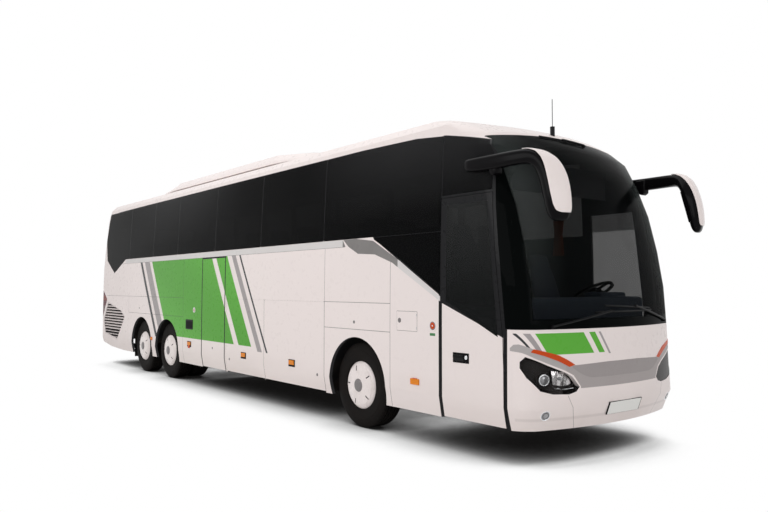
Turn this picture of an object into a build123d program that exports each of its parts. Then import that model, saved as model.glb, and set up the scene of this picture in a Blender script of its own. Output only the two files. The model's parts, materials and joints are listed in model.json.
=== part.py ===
"""Three-axle touring coach: body panels, glazing, doors, flaps, axles, wheels and cabin pieces.

Millimetres, +X forward, +Y to the coach's left, +Z up, ground at Z = 0. Lengths along the coach are
measured from the front axle and moved into the part's frame by at_x, so that the origin lies under
the middle of the whole coach.
"""
from build123d import *
import math
import os

os.makedirs("parts", exist_ok=True)

# ---- driving dimensions -----------------------------------------------------------------------
WHEELBASE = 6090.0
TAG_SPACING = 1350.0
REAR_OVERHANG = 2810.0
FRONT_OVERHANG = 2865.0
MIRROR_REACH = 3100.0        # front axle to the front of the mirror heads
MIRROR_WIDTH = 1330.0        # middle of the coach to the outside of the mirror arms
HALF_WIDTH = 1275.0
ROOF_HEIGHT = 3560.0
SILL_HEIGHT = 345.0
SILL_TUCK = 37.0             # the sides draw in towards the sill
TUCK_HEIGHT = 560.0
WALL = 45.0                  # whole panel with its frame tubes and lining
GLASS = 8.0
SEAL = 0.3                   # bond line between glass and rebate
POCKET = 1.0                 # gap round a pane in its rebate
PANEL_GAP = 5.0
NOSE_RADIUS = 3600.0         # plan curve of the front
TAIL_RADIUS = 7000.0         # plan curve of the rear
TAIL_CORNER = 220.0

DRIVE_X = -WHEELBASE
TAG_X = -WHEELBASE - TAG_SPACING
REAR_REACH = WHEELBASE + TAG_SPACING + REAR_OVERHANG
AXLE_X = (REAR_REACH - MIRROR_REACH) / 2

TYRE_RADIUS = 512.0
TYRE_HALF_WIDTH = 147.0
TREAD_HALF_WIDTH = 122.0
SIDEWALL_RADIUS = 410.0      # where the flat sidewall turns into the shoulder
RIM_RADIUS = 285.0
RIM_HALF_WIDTH = 120.0
TYRE_CENTRE = 1057.0         # outer tyres, from the middle of the coach
TWIN_SPACING = 333.0
COVER_REACH = 192.0          # wheel cover beyond the middle of its tyre
STUB_RADIUS = 45.0
ARCH_RADIUS = 580.0
HOUSING_RADIUS = 625.0
HOUSING_SHEET = 10.0
HOUSING_INNER = 500.0
KINGPIN_Y = 860.0
KINGPIN_RADIUS = 25.0
TRACK_ARM = 190.0            # steering arm behind the kingpin

BELT = 1509.0
FLOOR_TOP = 1330.0
FLOOR_THICK = 50.0
HOLD_FLOOR = 400.0
HOLD_SHEET = 38.0
HOLD_FRONT = -655.0
HOLD_REAR = -5440.0
SEAT_PITCH = 800.0
SEAT_ROWS = 12

SECTIONS = (
    # height, side inset, front setback, front corner radius, rear setback
    (SILL_HEIGHT, SILL_TUCK, 90.0, 300.0, 100.0),
    (TUCK_HEIGHT, 0.0, 0.0, 300.0, 10.0),
    (1270.0, 0.0, 35.0, 300.0, 0.0),
    (1700.0, 3.0, 65.0, 300.0, 10.0),
    (2100.0, 8.0, 135.0, 300.0, 30.0),
    (2500.0, 22.0, 235.0, 300.0, 80.0),
    (2850.0, 40.0, 375.0, 290.0, 135.0),
    (3120.0, 53.0, 520.0, 285.0, 185.0),
    (3300.0, 68.0, 740.0, 275.0, 240.0),
    (3420.0, 90.0, 960.0, 255.0, 300.0),
    (3510.0, 165.0, 1300.0, 230.0, 400.0),
    (ROOF_HEIGHT, 475.0, 1965.0, 200.0, 650.0),
)
ROOF_START = 3200.0          # above this height an inset also lowers the section

# Seams of the body in side view: distance from the front axle, height.
TAIL_SEAM = ((-9930.0, 300.0), (-9930.0, 1435.0), (-9680.0, 1435.0), (-9680.0, 1520.0),
             (-9200.0, 1990.0), (-9740.0, 2280.0), (-9870.0, 2730.0), (-9700.0, 3345.0))
ROOF_SEAM = ((-9700.0, 3345.0), (-4660.0, 3368.0), (50.0, 3370.0))
DOME_SEAM = ((50.0, 3370.0), (1060.0, 3350.0), (1550.0, 3300.0), (2085.0, 3190.0))
SCREEN_EDGE = ((2085.0, 3190.0), (2212.0, 3010.0), (2275.0, 2550.0), (2352.0, 1960.0), (2425.0, 1300.0))
SCREEN_TOP = (2015.0, 3225.0)
SCREEN_LOW = 1300.0
BUMPER_EDGE = 2440.0
BAND_LOW = 2285.0
STRIP_LOW = 2195.0

DOOR_LOW = 360.0
DOOR_REAR = 1515.0
DOOR_TOP = 2625.0
FRONT_DOOR = ((DOOR_REAR, DOOR_LOW), (DOOR_REAR, DOOR_TOP), (2235.0, DOOR_TOP), (2300.0, 1960.0),
              (2385.0, 1270.0), (2420.0, DOOR_LOW))
FRONT_DOOR_PANE = ((1600.0, 1550.0), (1600.0, 2550.0), (2180.0, 2545.0), (2330.0, 1220.0))
DRIVER_PANE = ((1521.0, 1594.0), (1521.0, 2643.0), (2225.0, 2643.0), (2290.0, 1960.0), (2345.0, 1400.0),
               (2345.0, 1215.0))
MID_DOOR_X = (-4500.0, -3615.0)
MID_DOOR_TOP = 2178.0
PANE_EDGES = (-8240.0, -6860.0, -5630.0, -4030.0, -2450.0, -740.0)
PANE_GAP = 12.0
BAND_GAP = 8.0               # between the panes and the roof's edge
FRAME_LAP = 55.0             # how far the body frame reaches behind a pane's edge

FLAP_LOW = 365.0
HINGE_RADIUS = 2.5           # hinge rods lie in the panel gap over each flap
HINGE_RISE = HINGE_RADIUS - SEAL
FLAP_HINGE_Y = HALF_WIDTH - 4.0
LID_HINGE_X = -REAR_REACH + 14.0
RIGHT_FLAPS = ((-3560.0, -2308.0), (-2302.0, -700.0))
LEFT_FLAPS = ((-5300.0, -3906.0), (-3900.0, -2308.0), (-2302.0, -700.0))


# ---- helpers ----------------------------------------------------------------------------------
def at_x(x):
    """Place a distance from the front axle in the part's frame."""
    return AXLE_X + x


def plan(section, inset):
    """Closed plan outline of the body at one height: two sides, curved nose and tail, four corners."""
    z, side, setback, corner, tail = section
    if z > ROOF_START:
        z -= inset
    if z == SILL_HEIGHT and inset > 0:
        z -= 1.0
    w = HALF_WIDTH - side - inset
    nose = FRONT_OVERHANG - setback - inset
    stern = REAR_REACH - tail - inset
    rf = corner - inset
    rt = TAIL_CORNER - inset
    big_f = NOSE_RADIUS - inset
    big_t = TAIL_RADIUS - inset
    cf = nose - big_f + math.sqrt((big_f - rf) ** 2 - (w - rf) ** 2)
    ct = -(stern - big_t + math.sqrt((big_t - rt) ** 2 - (w - rt) ** 2))
    af = math.atan2(w - rf, cf - (nose - big_f))
    at = math.pi - math.atan2(w - rt, -ct - (stern - big_t))

    def spot(x, y):
        return Vector(at_x(x), y, z)

    def front(angle, sign):
        return spot(cf + rf * math.cos(angle), sign * (w - rf + rf * math.sin(angle)))

    def rear(angle, sign):
        return spot(ct + rt * math.cos(angle), sign * (w - rt + rt * math.sin(angle)))

    mid_f = (af + math.pi / 2) / 2
    mid_t = (at + math.pi / 2) / 2
    return Wire([
        Edge.make_line(spot(ct, -w), spot(cf, -w)),
        Edge.make_three_point_arc(spot(cf, -w), front(mid_f, -1), front(af, -1)),
        Edge.make_three_point_arc(front(af, -1), spot(nose, 0), front(af, 1)),
        Edge.make_three_point_arc(front(af, 1), front(mid_f, 1), spot(cf, w)),
        Edge.make_line(spot(cf, w), spot(ct, w)),
        Edge.make_three_point_arc(spot(ct, w), rear(mid_t, 1), rear(at, 1)),
        Edge.make_three_point_arc(rear(at, 1), spot(-stern, 0), rear(at, -1)),
        Edge.make_three_point_arc(rear(at, -1), rear(mid_t, -1), spot(ct, -w)),
    ])


def hull(inset):
    """The body's outside drawn in by an inset, as one solid."""
    return Solid.make_loft([plan(section, inset) for section in SECTIONS], True)


def side_prism(points, y0, y1):
    """Prism across the coach from an outline in side view."""
    wire = Wire.make_polygon([Vector(at_x(x), y0, z) for x, z in points])
    return Solid.extrude(Face(wire), Vector(0, y1 - y0, 0))


def end_prism(points, x0, x1):
    """Prism along the coach from an outline of (y, z) points."""
    wire = Wire.make_polygon([Vector(at_x(x0), y, z) for y, z in points])
    return Solid.extrude(Face(wire), Vector(x1 - x0, 0, 0))


def block(x0, x1, y0, y1, z0, z1):
    """Box from its lowest to its highest corner."""
    return Pos(at_x((x0 + x1) / 2), (y0 + y1) / 2, (z0 + z1) / 2) * Box(x1 - x0, y1 - y0, z1 - z0)


def rod_x(x0, x1, y, z, radius):
    """Round bar along the coach."""
    return Pos(at_x((x0 + x1) / 2), y, z) * Rot(0, 90, 0) * Cylinder(radius, x1 - x0)


def rod_y(x, y0, y1, z, radius):
    """Round bar across the coach."""
    return Pos(at_x(x), (y0 + y1) / 2, z) * Rot(90, 0, 0) * Cylinder(radius, y1 - y0)


def rod_z(x, y, z0, z1, radius):
    """Upright round bar."""
    return Pos(at_x(x), y, (z0 + z1) / 2) * Cylinder(radius, z1 - z0)


def other_side(shape):
    """The same shape on the coach's other side."""
    return shape.mirror(Plane.XZ)


def pair(shape):
    """A shape fused with its mirror image."""
    return shape + other_side(shape)


def grown(points, by):
    """Outline with each edge moved outwards by a distance."""
    count = len(points)
    area = sum(points[i][0] * points[(i + 1) % count][1] - points[(i + 1) % count][0] * points[i][1]
               for i in range(count))
    turn = 1.0 if area > 0 else -1.0
    lines = []
    for i in range(count):
        (x0, z0), (x1, z1) = points[i], points[(i + 1) % count]
        length = math.hypot(x1 - x0, z1 - z0)
        nx = turn * (z1 - z0) / length
        nz = -turn * (x1 - x0) / length
        lines.append((nx, nz, nx * x0 + nz * z0 + by))
    corners = []
    for i in range(count):
        a, b = lines[i - 1], lines[i]
        det = a[0] * b[1] - a[1] * b[0]
        corners.append(((a[2] * b[1] - a[1] * b[2]) / det, (a[0] * b[2] - a[2] * b[0]) / det))
    return tuple(corners)


def rectangle(x0, x1, z0, z1):
    return ((x0, z0), (x0, z1), (x1, z1), (x1, z0))


def band_top(x):
    """Height of the seam over the side glass."""
    line = ROOF_SEAM + DOME_SEAM[1:]
    for (x0, z0), (x1, z1) in zip(line, line[1:]):
        if x <= x1:
            return z0 + (z1 - z0) * (x - x0) / (x1 - x0)
    return line[-1][1]


def solids_of(*shapes):
    return [solid for shape in shapes for solid in shape.solids()]


def keep(name, *shapes):
    """Write one node."""
    export_step(Compound(solids_of(*shapes)), "parts/" + name + ".step")


def minus(shape, *cutters):
    """Cut solids out of a shape in one pass."""
    return shape - solids_of(*cutters)


# ---- body shell -------------------------------------------------------------------------------
OUTSIDE = hull(0.0)
INSIDE = hull(WALL)
REBATE = hull(GLASS + SEAL)
SHELL = OUTSIDE - INSIDE
SKIN = OUTSIDE - hull(GLASS)
PROUD = hull(-SEAL)          # just clear of the outside, for what is fixed on the skin

FAR = HALF_WIDTH + 100.0
FRONT_END = FRONT_OVERHANG + 300.0
REAR_END = -REAR_REACH - 200.0
TOP = ROOF_HEIGHT + 200.0
UNDER = 200.0                # below every panel

side_outline = (TAIL_SEAM + ROOF_SEAM[1:] + DOME_SEAM[1:] + SCREEN_EDGE[1:]
                + ((BUMPER_EDGE, SCREEN_LOW - 4.0), (BUMPER_EDGE, 300.0)))
roof_outline = ((REAR_END, TAIL_SEAM[-1][1]),) + ROOF_SEAM + ((ROOF_SEAM[-1][0], TOP), (REAR_END, TOP))
dome_outline = DOME_SEAM + (SCREEN_TOP, (SCREEN_TOP[0], TOP), (DOME_SEAM[0][0], TOP))
tail_outline = ((REAR_END, 300.0),) + TAIL_SEAM + ((REAR_END, TAIL_SEAM[-1][1]),)
screen_outline = SCREEN_EDGE + ((FRONT_END, SCREEN_LOW), (FRONT_END, TOP), (SCREEN_TOP[0], TOP), SCREEN_TOP)
fascia_outline = rectangle(BUMPER_EDGE, FRONT_END, 300.0, SCREEN_LOW - 4.0)
tail_rise = ((-8700.0, UNDER), (-8700.0, 346.0), (-9400.0, 380.0), (-10050.0, 470.0),
             (REAR_END, 520.0), (REAR_END, UNDER))

half_gap = PANE_GAP / 2
rear_pane = ((PANE_EDGES[0] - half_gap, BAND_LOW), (-8480.0, BAND_LOW), (-9200.0, 2000.0),
             (-9735.0, 2285.0), (-9862.0, 2730.0), (-9700.0, 3337.0), (PANE_EDGES[0] - half_gap, 3343.0))
guide_pane = ((PANE_EDGES[-1] + half_gap, BAND_LOW), (PANE_EDGES[-1] + half_gap, 3360.0),
              (50.0, 3362.0), (1060.0, 3342.0), (1509.0, 3296.0), (1509.0, BAND_LOW))
over_door = ((1521.0, 2655.0), (1521.0, 3292.0), (2080.0, 3180.0), (2190.0, 3005.0), (2229.0, 2655.0))
wedge_panel = ((345.0, 2279.0), (1509.0, 2279.0), (1509.0, 1625.0), (850.0, 2004.0), (345.0, 2256.0))
windows = [rear_pane]
for x0, x1 in zip(PANE_EDGES, PANE_EDGES[1:]):
    low, high = x0 + half_gap, x1 - half_gap
    windows.append(((low, BAND_LOW), (low, band_top(low) - BAND_GAP), (high, band_top(high) - BAND_GAP),
                    (high, BAND_LOW)))
windows.append(guide_pane)
panes = windows + [over_door, wedge_panel]
strip = ((-8480.0, STRIP_LOW), (-8460.0, BAND_LOW - 6.0), (-300.0, BAND_LOW - 6.0), (-240.0, STRIP_LOW))
blade = ((-287.0, 2281.0), (-10.0, 2281.0), (330.0, 2240.0), (840.0, 1988.0), (1509.0, 1600.0),
         (1509.0, 1550.0), (700.0, 1975.0), (370.0, 2080.0), (30.0, 2100.0), (-170.0, 2192.0))
grille_hole = ((-9600.0, 1370.0), (-8700.0, 1205.0), (-8440.0, 1060.0), (-8935.0, 545.0), (-9770.0, 650.0),
               (-9895.0, 965.0))
tail_lamp = ((REAR_END, 980.0), (-9990.0, 980.0), (-9690.0, 1395.0), (-9690.0, 1430.0), (-9990.0, 1640.0),
             (REAR_END, 1640.0))
TAIL_LAMP_INNER = 1040.0


def wall_prism(points):
    """Prism through the right-hand wall."""
    return side_prism(points, -FAR, 0.0)


def rebate(*outlines):
    """Pockets in the right-hand wall that hold panes and trim flush."""
    return Compound([wall_prism(grown(outline, POCKET)) for outline in outlines]) - REBATE


tail_lamp_hole = side_prism(tail_lamp, -FAR, -TAIL_LAMP_INNER)
arches = [rod_y(x, -FAR, -HALF_WIDTH / 2, TYRE_RADIUS, ARCH_RADIUS) for x in (0.0, DRIVE_X, TAG_X)]
window_holes = [wall_prism(grown(outline, -FRAME_LAP)) for outline in windows[1:]]
window_holes.append(wall_prism(grown(rear_pane, -FRAME_LAP - 15.0)))
side = SHELL & wall_prism(side_outline)
side = minus(side, rebate(*panes, strip, blade), wall_prism(tail_rise), wall_prism(grille_hole),
             tail_lamp_hole, *window_holes, *arches)

driver_window = wall_prism(grown(DRIVER_PANE, -FRAME_LAP))
left_flap_holes = [wall_prism(rectangle(x0, x1, 300.0, BELT)) for x0, x1 in LEFT_FLAPS]
keep("body_side_left", other_side(minus(side, rebate(DRIVER_PANE), driver_window, *left_flap_holes)))

front_door_hole = grown(FRONT_DOOR[1:-1] + ((FRONT_DOOR[-1][0], 300.0), (DOOR_REAR, 300.0)), PANEL_GAP)
mid_door_hole = grown(rectangle(*MID_DOOR_X, 300.0, MID_DOOR_TOP), PANEL_GAP)
right_flap_holes = [wall_prism(rectangle(x0, x1, 300.0, BELT)) for x0, x1 in RIGHT_FLAPS]
right_side = minus(side, wall_prism(front_door_hole), wall_prism(mid_door_hole), *right_flap_holes)

right_glass = [SKIN & wall_prism(outline) for outline in panes]
left_glass = [other_side(pane) for pane in right_glass + [SKIN & wall_prism(DRIVER_PANE)]]
keep("side_glass", *right_glass, *left_glass)

keep("roof", SHELL & side_prism(roof_outline, -FAR, FAR))
keep("front_dome", SHELL & side_prism(dome_outline, -FAR, FAR))

screen_prism = side_prism(screen_outline, -FAR, FAR)
keep("windscreen", SKIN & screen_prism)
screen_hole = side_prism(grown(screen_outline, -70.0), -FAR, FAR)
keep("windscreen_frame", (REBATE - INSIDE) & (screen_prism - screen_hole))

# ---- front: outlines are (y, z) on the right half -----------------------------------------------
LAMP = ((-648.0, 748.0), (-690.0, 704.0), (-775.0, 683.0), (-955.0, 692.0), (-1088.0, 727.0),
        (-1192.0, 851.0),
        (-1228.0, 940.0), (-1226.0, 1000.0), (-1193.0, 1046.0), (-1000.0, 962.0), (-819.0, 893.0),
        (-727.0, 845.0))
BAR = ((0.0, 967.0), (-250.0, 967.0), (-690.0, 951.0), (-754.0, 939.0), (-802.0, 906.0), (-712.0, 860.0),
       (-632.0, 752.0), (-632.0, 734.0), (0.0, 734.0))
BROW = ((-754.0, 939.0), (-879.0, 997.0), (-1014.0, 1045.0), (-1155.0, 1088.0), (-1132.0, 1116.0),
        (-1228.0, 1160.0), (-1250.0, 1156.0), (-1262.0, 1125.0), (-1262.0, 1098.0), (-1211.0, 1083.0),
        (-1110.0, 1026.0), (-970.0, 970.0), (-802.0, 906.0))
INDICATOR = ((-758.0, 944.0), (-881.0, 1002.0), (-1016.0, 1050.0), (-1150.0, 1091.0), (-1128.0, 1114.0),
             (-1011.0, 1086.0), (-876.0, 1050.0), (-783.0, 1006.0), (-692.0, 956.0))
FOG = (-1020.0, 495.0, 45.0)
nose = BUMPER_EDGE + PANEL_GAP, FRONT_END
lamp_hole = pair(end_prism(LAMP, *nose))
bar = pair(end_prism(BAR, *nose) + end_prism(BROW, *nose))
bar_hole = pair(end_prism(grown(BAR, POCKET), *nose) + end_prism(grown(BROW, POCKET), *nose)) - REBATE
indicator = end_prism(INDICATOR, *nose)
fog_hole = pair(rod_x(2500.0, FRONT_END, *FOG))
indicator_hole = pair(end_prism(grown(INDICATOR, POCKET / 4), *nose)) - REBATE
fascia = SHELL & side_prism(fascia_outline, -FAR, FAR)
keep("front_fascia", minus(fascia, lamp_hole, bar_hole, fog_hole, indicator_hole))
lamp_body = hull(3.0) - INSIDE
lamp = lamp_body & end_prism(grown(LAMP, -SEAL), *nose)
fog = lamp_body & rod_x(2500.0, FRONT_END, FOG[0], FOG[1], FOG[2] - SEAL)
keep("headlamps", lamp, other_side(lamp), fog, other_side(fog))
bar_trim = SKIN & bar
trim = [SKIN & wall_prism(outline) for outline in (strip, blade)]
keep("silver_trim", bar_trim, *trim, *[other_side(piece) for piece in trim])

# ---- rear -------------------------------------------------------------------------------------
LID = rectangle(-850.0, 850.0, 640.0, 1760.0)
LID_SLOTS = 9
LID_SLOT_PITCH = 42.0
REAR_GLASS = ((-980.0, 2320.0), (-930.0, 3130.0), (930.0, 3130.0), (980.0, 2320.0))
tail_reach = REAR_END, -REAR_REACH + 700.0
tail = SHELL & side_prism(tail_outline, -FAR, FAR)
lid_hole = end_prism(grown(LID, PANEL_GAP), *tail_reach)
pane_pocket = end_prism(grown(REAR_GLASS, POCKET), *tail_reach) - REBATE
pane_hole = end_prism(grown(REAR_GLASS, -FRAME_LAP), *tail_reach)
keep("rear_panel", minus(tail, side_prism(tail_rise, -FAR, FAR), lid_hole, pane_pocket, pane_hole,
                         tail_lamp_hole, other_side(tail_lamp_hole)))
keep("rear_window", SKIN & end_prism(REAR_GLASS, *tail_reach))
lid_hinge = rod_y(LID_HINGE_X, -160.0, 160.0, LID[1][1] + HINGE_RISE, HINGE_RADIUS)
lid_slots = [end_prism(rectangle(-560.0, 560.0, z, z + 16.0), *tail_reach)
             for z in (760.0 + i * LID_SLOT_PITCH for i in range(LID_SLOTS))]
keep("engine_lid", minus((SHELL & end_prism(LID, *tail_reach)) + lid_hinge, *lid_slots))
lamp = (hull(2.0) - INSIDE) & side_prism(grown(tail_lamp, -SEAL), -FAR, -TAIL_LAMP_INNER - SEAL)
keep("tail_lamps", lamp, other_side(lamp))

# ---- louvred grilles and orange lamps -------------------------------------------------------------
SLATS = 13
SLAT_LOW = 590.0
SLAT_PITCH = 60.0
SLAT_THICK = 12.0
SLAT_FALL = 26.0             # each slat leans outwards and down
GRILLE_RIM = 26.0
GRILLE_DEPTH = 30.0
grille_body = (hull(2.0) - hull(GRILLE_DEPTH)) & wall_prism(grown(grille_hole, -SEAL))
grille_inner = wall_prism(grown(grille_hole, -GRILLE_RIM))
slats = []
for i in range(SLATS):
    z = SLAT_LOW + i * SLAT_PITCH
    outer, inner = -HALF_WIDTH - 5.0, -HALF_WIDTH + GRILLE_DEPTH + 5.0
    slats.append(end_prism(((outer, z), (outer, z + SLAT_THICK), (inner, z + SLAT_FALL + SLAT_THICK),
                            (inner, z + SLAT_FALL)), -9900.0, -8370.0))
grille = (grille_body - grille_inner) + (Compound(slats) & grille_body)
keep("side_grilles", grille, other_side(grille))

MARKER_HALF = 32.0
MARKERS = (
    # x, z, also on the left
    (1108.0, 678.0, True),
    (-6850.0, 692.0, True),
    (-5020.0, 662.0, False),
)
marker_skin = hull(-12.0) - PROUD
orange = [SKIN & indicator]
orange.append(other_side(orange[0]))
for x, z, both in MARKERS:
    lens = marker_skin & block(x - MARKER_HALF, x + MARKER_HALF, -FAR, 0.0, z - MARKER_HALF, z + MARKER_HALF)
    orange += [lens, other_side(lens)] if both else [lens]
keep("marker_lamps", *orange)

# ---- doors ------------------------------------------------------------------------------------
front_leaf = SHELL & wall_prism(FRONT_DOOR)
front_leaf = minus(front_leaf, rebate(FRONT_DOOR_PANE), wall_prism(grown(FRONT_DOOR_PANE, -40.0)))
mid_leaf = SHELL & wall_prism(rectangle(*MID_DOOR_X, DOOR_LOW, MID_DOOR_TOP))
keep("front_door_glass", SKIN & wall_prism(FRONT_DOOR_PANE))

POST_RADIUS = 22.0
ARM_HALF = 16.0
PIN_RADIUS = 12.0
POST_Y = -HALF_WIDTH + 90.0
POST_END = 120.0             # the post runs this far past its outer arms
EAR = 20.0
EAR_ROOT = -HALF_WIDTH + 30.0
BRACKET = 12.0
BRACKET_Y = (POST_Y - 41.0, POST_Y + 27.0)
BRACKET_ROOT = BRACKET_Y[0] - 14.0
DOOR_ARMS = (
    # name, leaf, post x, reach of the arm along the coach, heights of the arms, jamb that carries the post
    ("front_door", front_leaf, 2290.0, -600.0, (700.0, 1080.0), 2438.0),
    ("mid_door", mid_leaf, -4395.0, 600.0, (700.0, 1500.0), -4520.0),
)
for name, leaf, post_x, reach, heights, jamb in DOOR_ARMS:
    pin_x = post_x + reach
    low, high = heights[0] - POST_END, heights[-1] + POST_END
    arm = rod_z(post_x, POST_Y, low, high, POST_RADIUS)
    for z in heights:
        arm += block(min(post_x, pin_x), max(post_x, pin_x), POST_Y - ARM_HALF, POST_Y + ARM_HALF,
                     z - ARM_HALF, z + ARM_HALF)
        arm += rod_z(pin_x, POST_Y, z - ARM_HALF, z + ARM_HALF, ARM_HALF + 10.0)
        arm = arm - rod_z(pin_x, POST_Y, z - 40.0, z + 40.0, PIN_RADIUS + SEAL)
        leaf = leaf + rod_z(pin_x, POST_Y, z - ARM_HALF - EAR, z + ARM_HALF + EAR, PIN_RADIUS)
        for z0 in (z + ARM_HALF + SEAL, z - ARM_HALF - EAR):
            leaf = leaf + block(pin_x - EAR, pin_x + EAR, EAR_ROOT, POST_Y + EAR, z0, z0 + EAR - SEAL)
    keep(name + "_leaf", leaf)
    keep(name + "_arm", arm)
    towards = 1.0 if jamb > post_x else -1.0
    toe = post_x - towards * (POST_RADIUS + 6.0)
    foot = jamb - towards * 11.0
    for z0 in (low - SEAL - BRACKET, high + SEAL):
        right_side += block(min(toe, jamb), max(toe, jamb), *BRACKET_Y, z0, z0 + BRACKET)
        right_side += block(min(foot, jamb), max(foot, jamb), BRACKET_ROOT, BRACKET_Y[1], z0, z0 + BRACKET)
keep("body_side_right", right_side)

# ---- luggage flaps ----------------------------------------------------------------------------
for side_name, turn, flaps in (("right", 1.0, RIGHT_FLAPS), ("left", -1.0, LEFT_FLAPS)):
    for index, (x0, x1) in enumerate(flaps):
        outline = rectangle(x0 + PANEL_GAP / 2, x1 - PANEL_GAP / 2, FLAP_LOW, BELT - PANEL_GAP)
        flap = SHELL & wall_prism(outline)
        flap += rod_x(x0 + 20.0, x1 - 20.0, -FLAP_HINGE_Y, BELT - PANEL_GAP + HINGE_RISE, HINGE_RADIUS)
        keep("luggage_flap_%s_%d" % (side_name, index + 1), flap if turn > 0 else other_side(flap))

# ---- underbody --------------------------------------------------------------------------------
LINING = HALF_WIDTH - WALL - SEAL
LINING_LOW = LINING - SILL_TUCK
RAIL_Y = 360.0
RAIL_WIDE = 80.0
RAIL_MIDDLE = RAIL_Y + RAIL_WIDE / 2
RAIL_LOW = 640.0
RAIL_HIGH = 760.0
BULKHEAD = 30.0
PAN_REAR = 1370.0
PAN_FRONT = 2480.0
PAN_LOW = 362.0
PAN_HALF = 1100.0
FRAME_REAR = -9950.0
COUPLING_Y = 160.0
COUPLING_PITCH = 70.0
COUPLING_Z = 410.0
COUPLING_HOLE = 8.5
COUPLING_PLATE = 20.0
JACK_X = (-850.0, -5200.0)
JACK_Y = 900.0
JACK_HALF = 60.0
JACK_LOW = 346.0

hold_half = LINING_LOW - PANEL_GAP
frame = block(HOLD_REAR, HOLD_FRONT, -hold_half, hold_half, HOLD_FLOOR - HOLD_SHEET, HOLD_FLOOR)
for x in (HOLD_REAR, HOLD_FRONT - BULKHEAD):
    frame += block(x, x + BULKHEAD, -LINING_LOW, LINING_LOW, HOLD_FLOOR, TUCK_HEIGHT)
    frame += block(x, x + BULKHEAD, -LINING, LINING, TUCK_HEIGHT, FLOOR_TOP - FLOOR_THICK)
for x0, x1 in ((HOLD_FRONT, PAN_REAR + BULKHEAD), (FRAME_REAR, HOLD_REAR)):
    frame += pair(block(x0, x1, -RAIL_Y - RAIL_WIDE, -RAIL_Y, RAIL_LOW, RAIL_HIGH))
frame += block(PAN_REAR, PAN_REAR + BULKHEAD, -LINING_LOW, LINING_LOW, PAN_LOW, RAIL_HIGH)
frame += block(PAN_REAR, PAN_FRONT, -PAN_HALF, PAN_HALF, PAN_LOW, HOLD_FLOOR)
frame += block(FRAME_REAR, FRAME_REAR + RAIL_WIDE, -PAN_HALF, PAN_HALF, RAIL_LOW, RAIL_HIGH)
coupling = block(FRAME_REAR, FRAME_REAR + COUPLING_PLATE, -150.0, 150.0, COUPLING_Z - 65.0, RAIL_LOW)
for y in (-COUPLING_Y / 2, COUPLING_Y / 2):
    for z in (-COUPLING_PITCH / 2, COUPLING_PITCH / 2):
        coupling = coupling - rod_x(FRAME_REAR - 10.0, FRAME_REAR + 40.0, y, COUPLING_Z + z, COUPLING_HOLE)
frame += coupling
for x in JACK_X:
    frame += pair(block(x - JACK_HALF, x + JACK_HALF, -JACK_Y - JACK_HALF, -JACK_Y + JACK_HALF, JACK_LOW,
                        HOLD_FLOOR - HOLD_SHEET))
keep("chassis_frame", frame)

MUD_FLAP = 8.0
MUD_FLAP_LOW = 250.0
HOUSING_LOW = TYRE_RADIUS + 100.0
housings = []
for x in (0.0, DRIVE_X, TAG_X):
    tunnel = rod_y(x, -LINING, -HOUSING_INNER, TYRE_RADIUS, HOUSING_RADIUS + HOUSING_SHEET)
    tunnel = tunnel - rod_y(x, -LINING - 10.0, -HOUSING_INNER - HOUSING_SHEET, TYRE_RADIUS, HOUSING_RADIUS)
    tunnel = tunnel - block(x - 900.0, x + 900.0, -FAR, 0.0, -200.0, HOUSING_LOW)
    if x == TAG_X:
        edge = x - math.sqrt(HOUSING_RADIUS ** 2 - (HOUSING_LOW - TYRE_RADIUS) ** 2)
        tunnel += block(edge - MUD_FLAP, edge, -LINING_LOW + 10.0, -HOUSING_INNER - 80.0, MUD_FLAP_LOW,
                        HOUSING_LOW + 10.0)
    housings += [tunnel, other_side(tunnel)]
keep("wheel_housings", *housings)

# ---- saloon floor and stairs ------------------------------------------------------------------
STAIR_X = (-4510.0, -3605.0)
STAIR_INNER = -330.0
STAIR_WALL = 20.0
STAIR_MOUTH = -1150.0
STAIR_RISE = 180.0
STAIR_TREAD = 190.0
PLATFORM = 110.0
AISLE = 230.0
FLOOR_REAR = -9700.0
CAB_FRONT = 2330.0
CAB_FLOOR = 930.0
SALOON_FRONT = 1400.0
PLATFORM_FRONT = 1000.0
lining_up = HALF_WIDTH - WALL - PANEL_GAP - 1.6
slab = FLOOR_TOP - FLOOR_THICK, FLOOR_TOP
platform = FLOOR_TOP + SEAL, FLOOR_TOP + PLATFORM
keep("saloon_floor",
     block(STAIR_X[1], SALOON_FRONT, -lining_up, lining_up, *slab),
     block(STAIR_X[0] + SEAL, STAIR_X[1] - SEAL, STAIR_INNER, lining_up, *slab),
     block(FLOOR_REAR, STAIR_X[0], -lining_up, lining_up, *slab),
     block(FLOOR_REAR, PLATFORM_FRONT, AISLE, lining_up, *platform),
     block(FLOOR_REAR, STAIR_X[0], -lining_up, -AISLE, *platform),
     block(STAIR_X[1], PLATFORM_FRONT, -lining_up, -AISLE, *platform))


def stair_profile(mouth, inner, base, rise, tread, steps):
    """Outline of a flight that climbs inwards from the right-hand door, as (y, z) points."""
    points = [(mouth, base)]
    for i in range(steps):
        height = base + (i + 1) * rise
        points.append((mouth + i * tread, height))
        points.append((mouth + (i + 1) * tread if i < steps - 1 else inner, height))
    return points + [(inner, base)]


stair_base = HOLD_FLOOR + SEAL
under_floor = FLOOR_TOP - FLOOR_THICK - SEAL
flight = end_prism(stair_profile(-1000.0, STAIR_INNER, stair_base, STAIR_RISE, STAIR_TREAD, 4), *STAIR_X)
flight += block(*STAIR_X, STAIR_INNER, STAIR_INNER + STAIR_WALL, stair_base, under_floor)
for x in (STAIR_X[0] - STAIR_WALL, STAIR_X[1]):
    flight += block(x, x + STAIR_WALL, STAIR_MOUTH, STAIR_INNER + STAIR_WALL, stair_base, under_floor)
keep("mid_stairs", flight)

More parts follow.
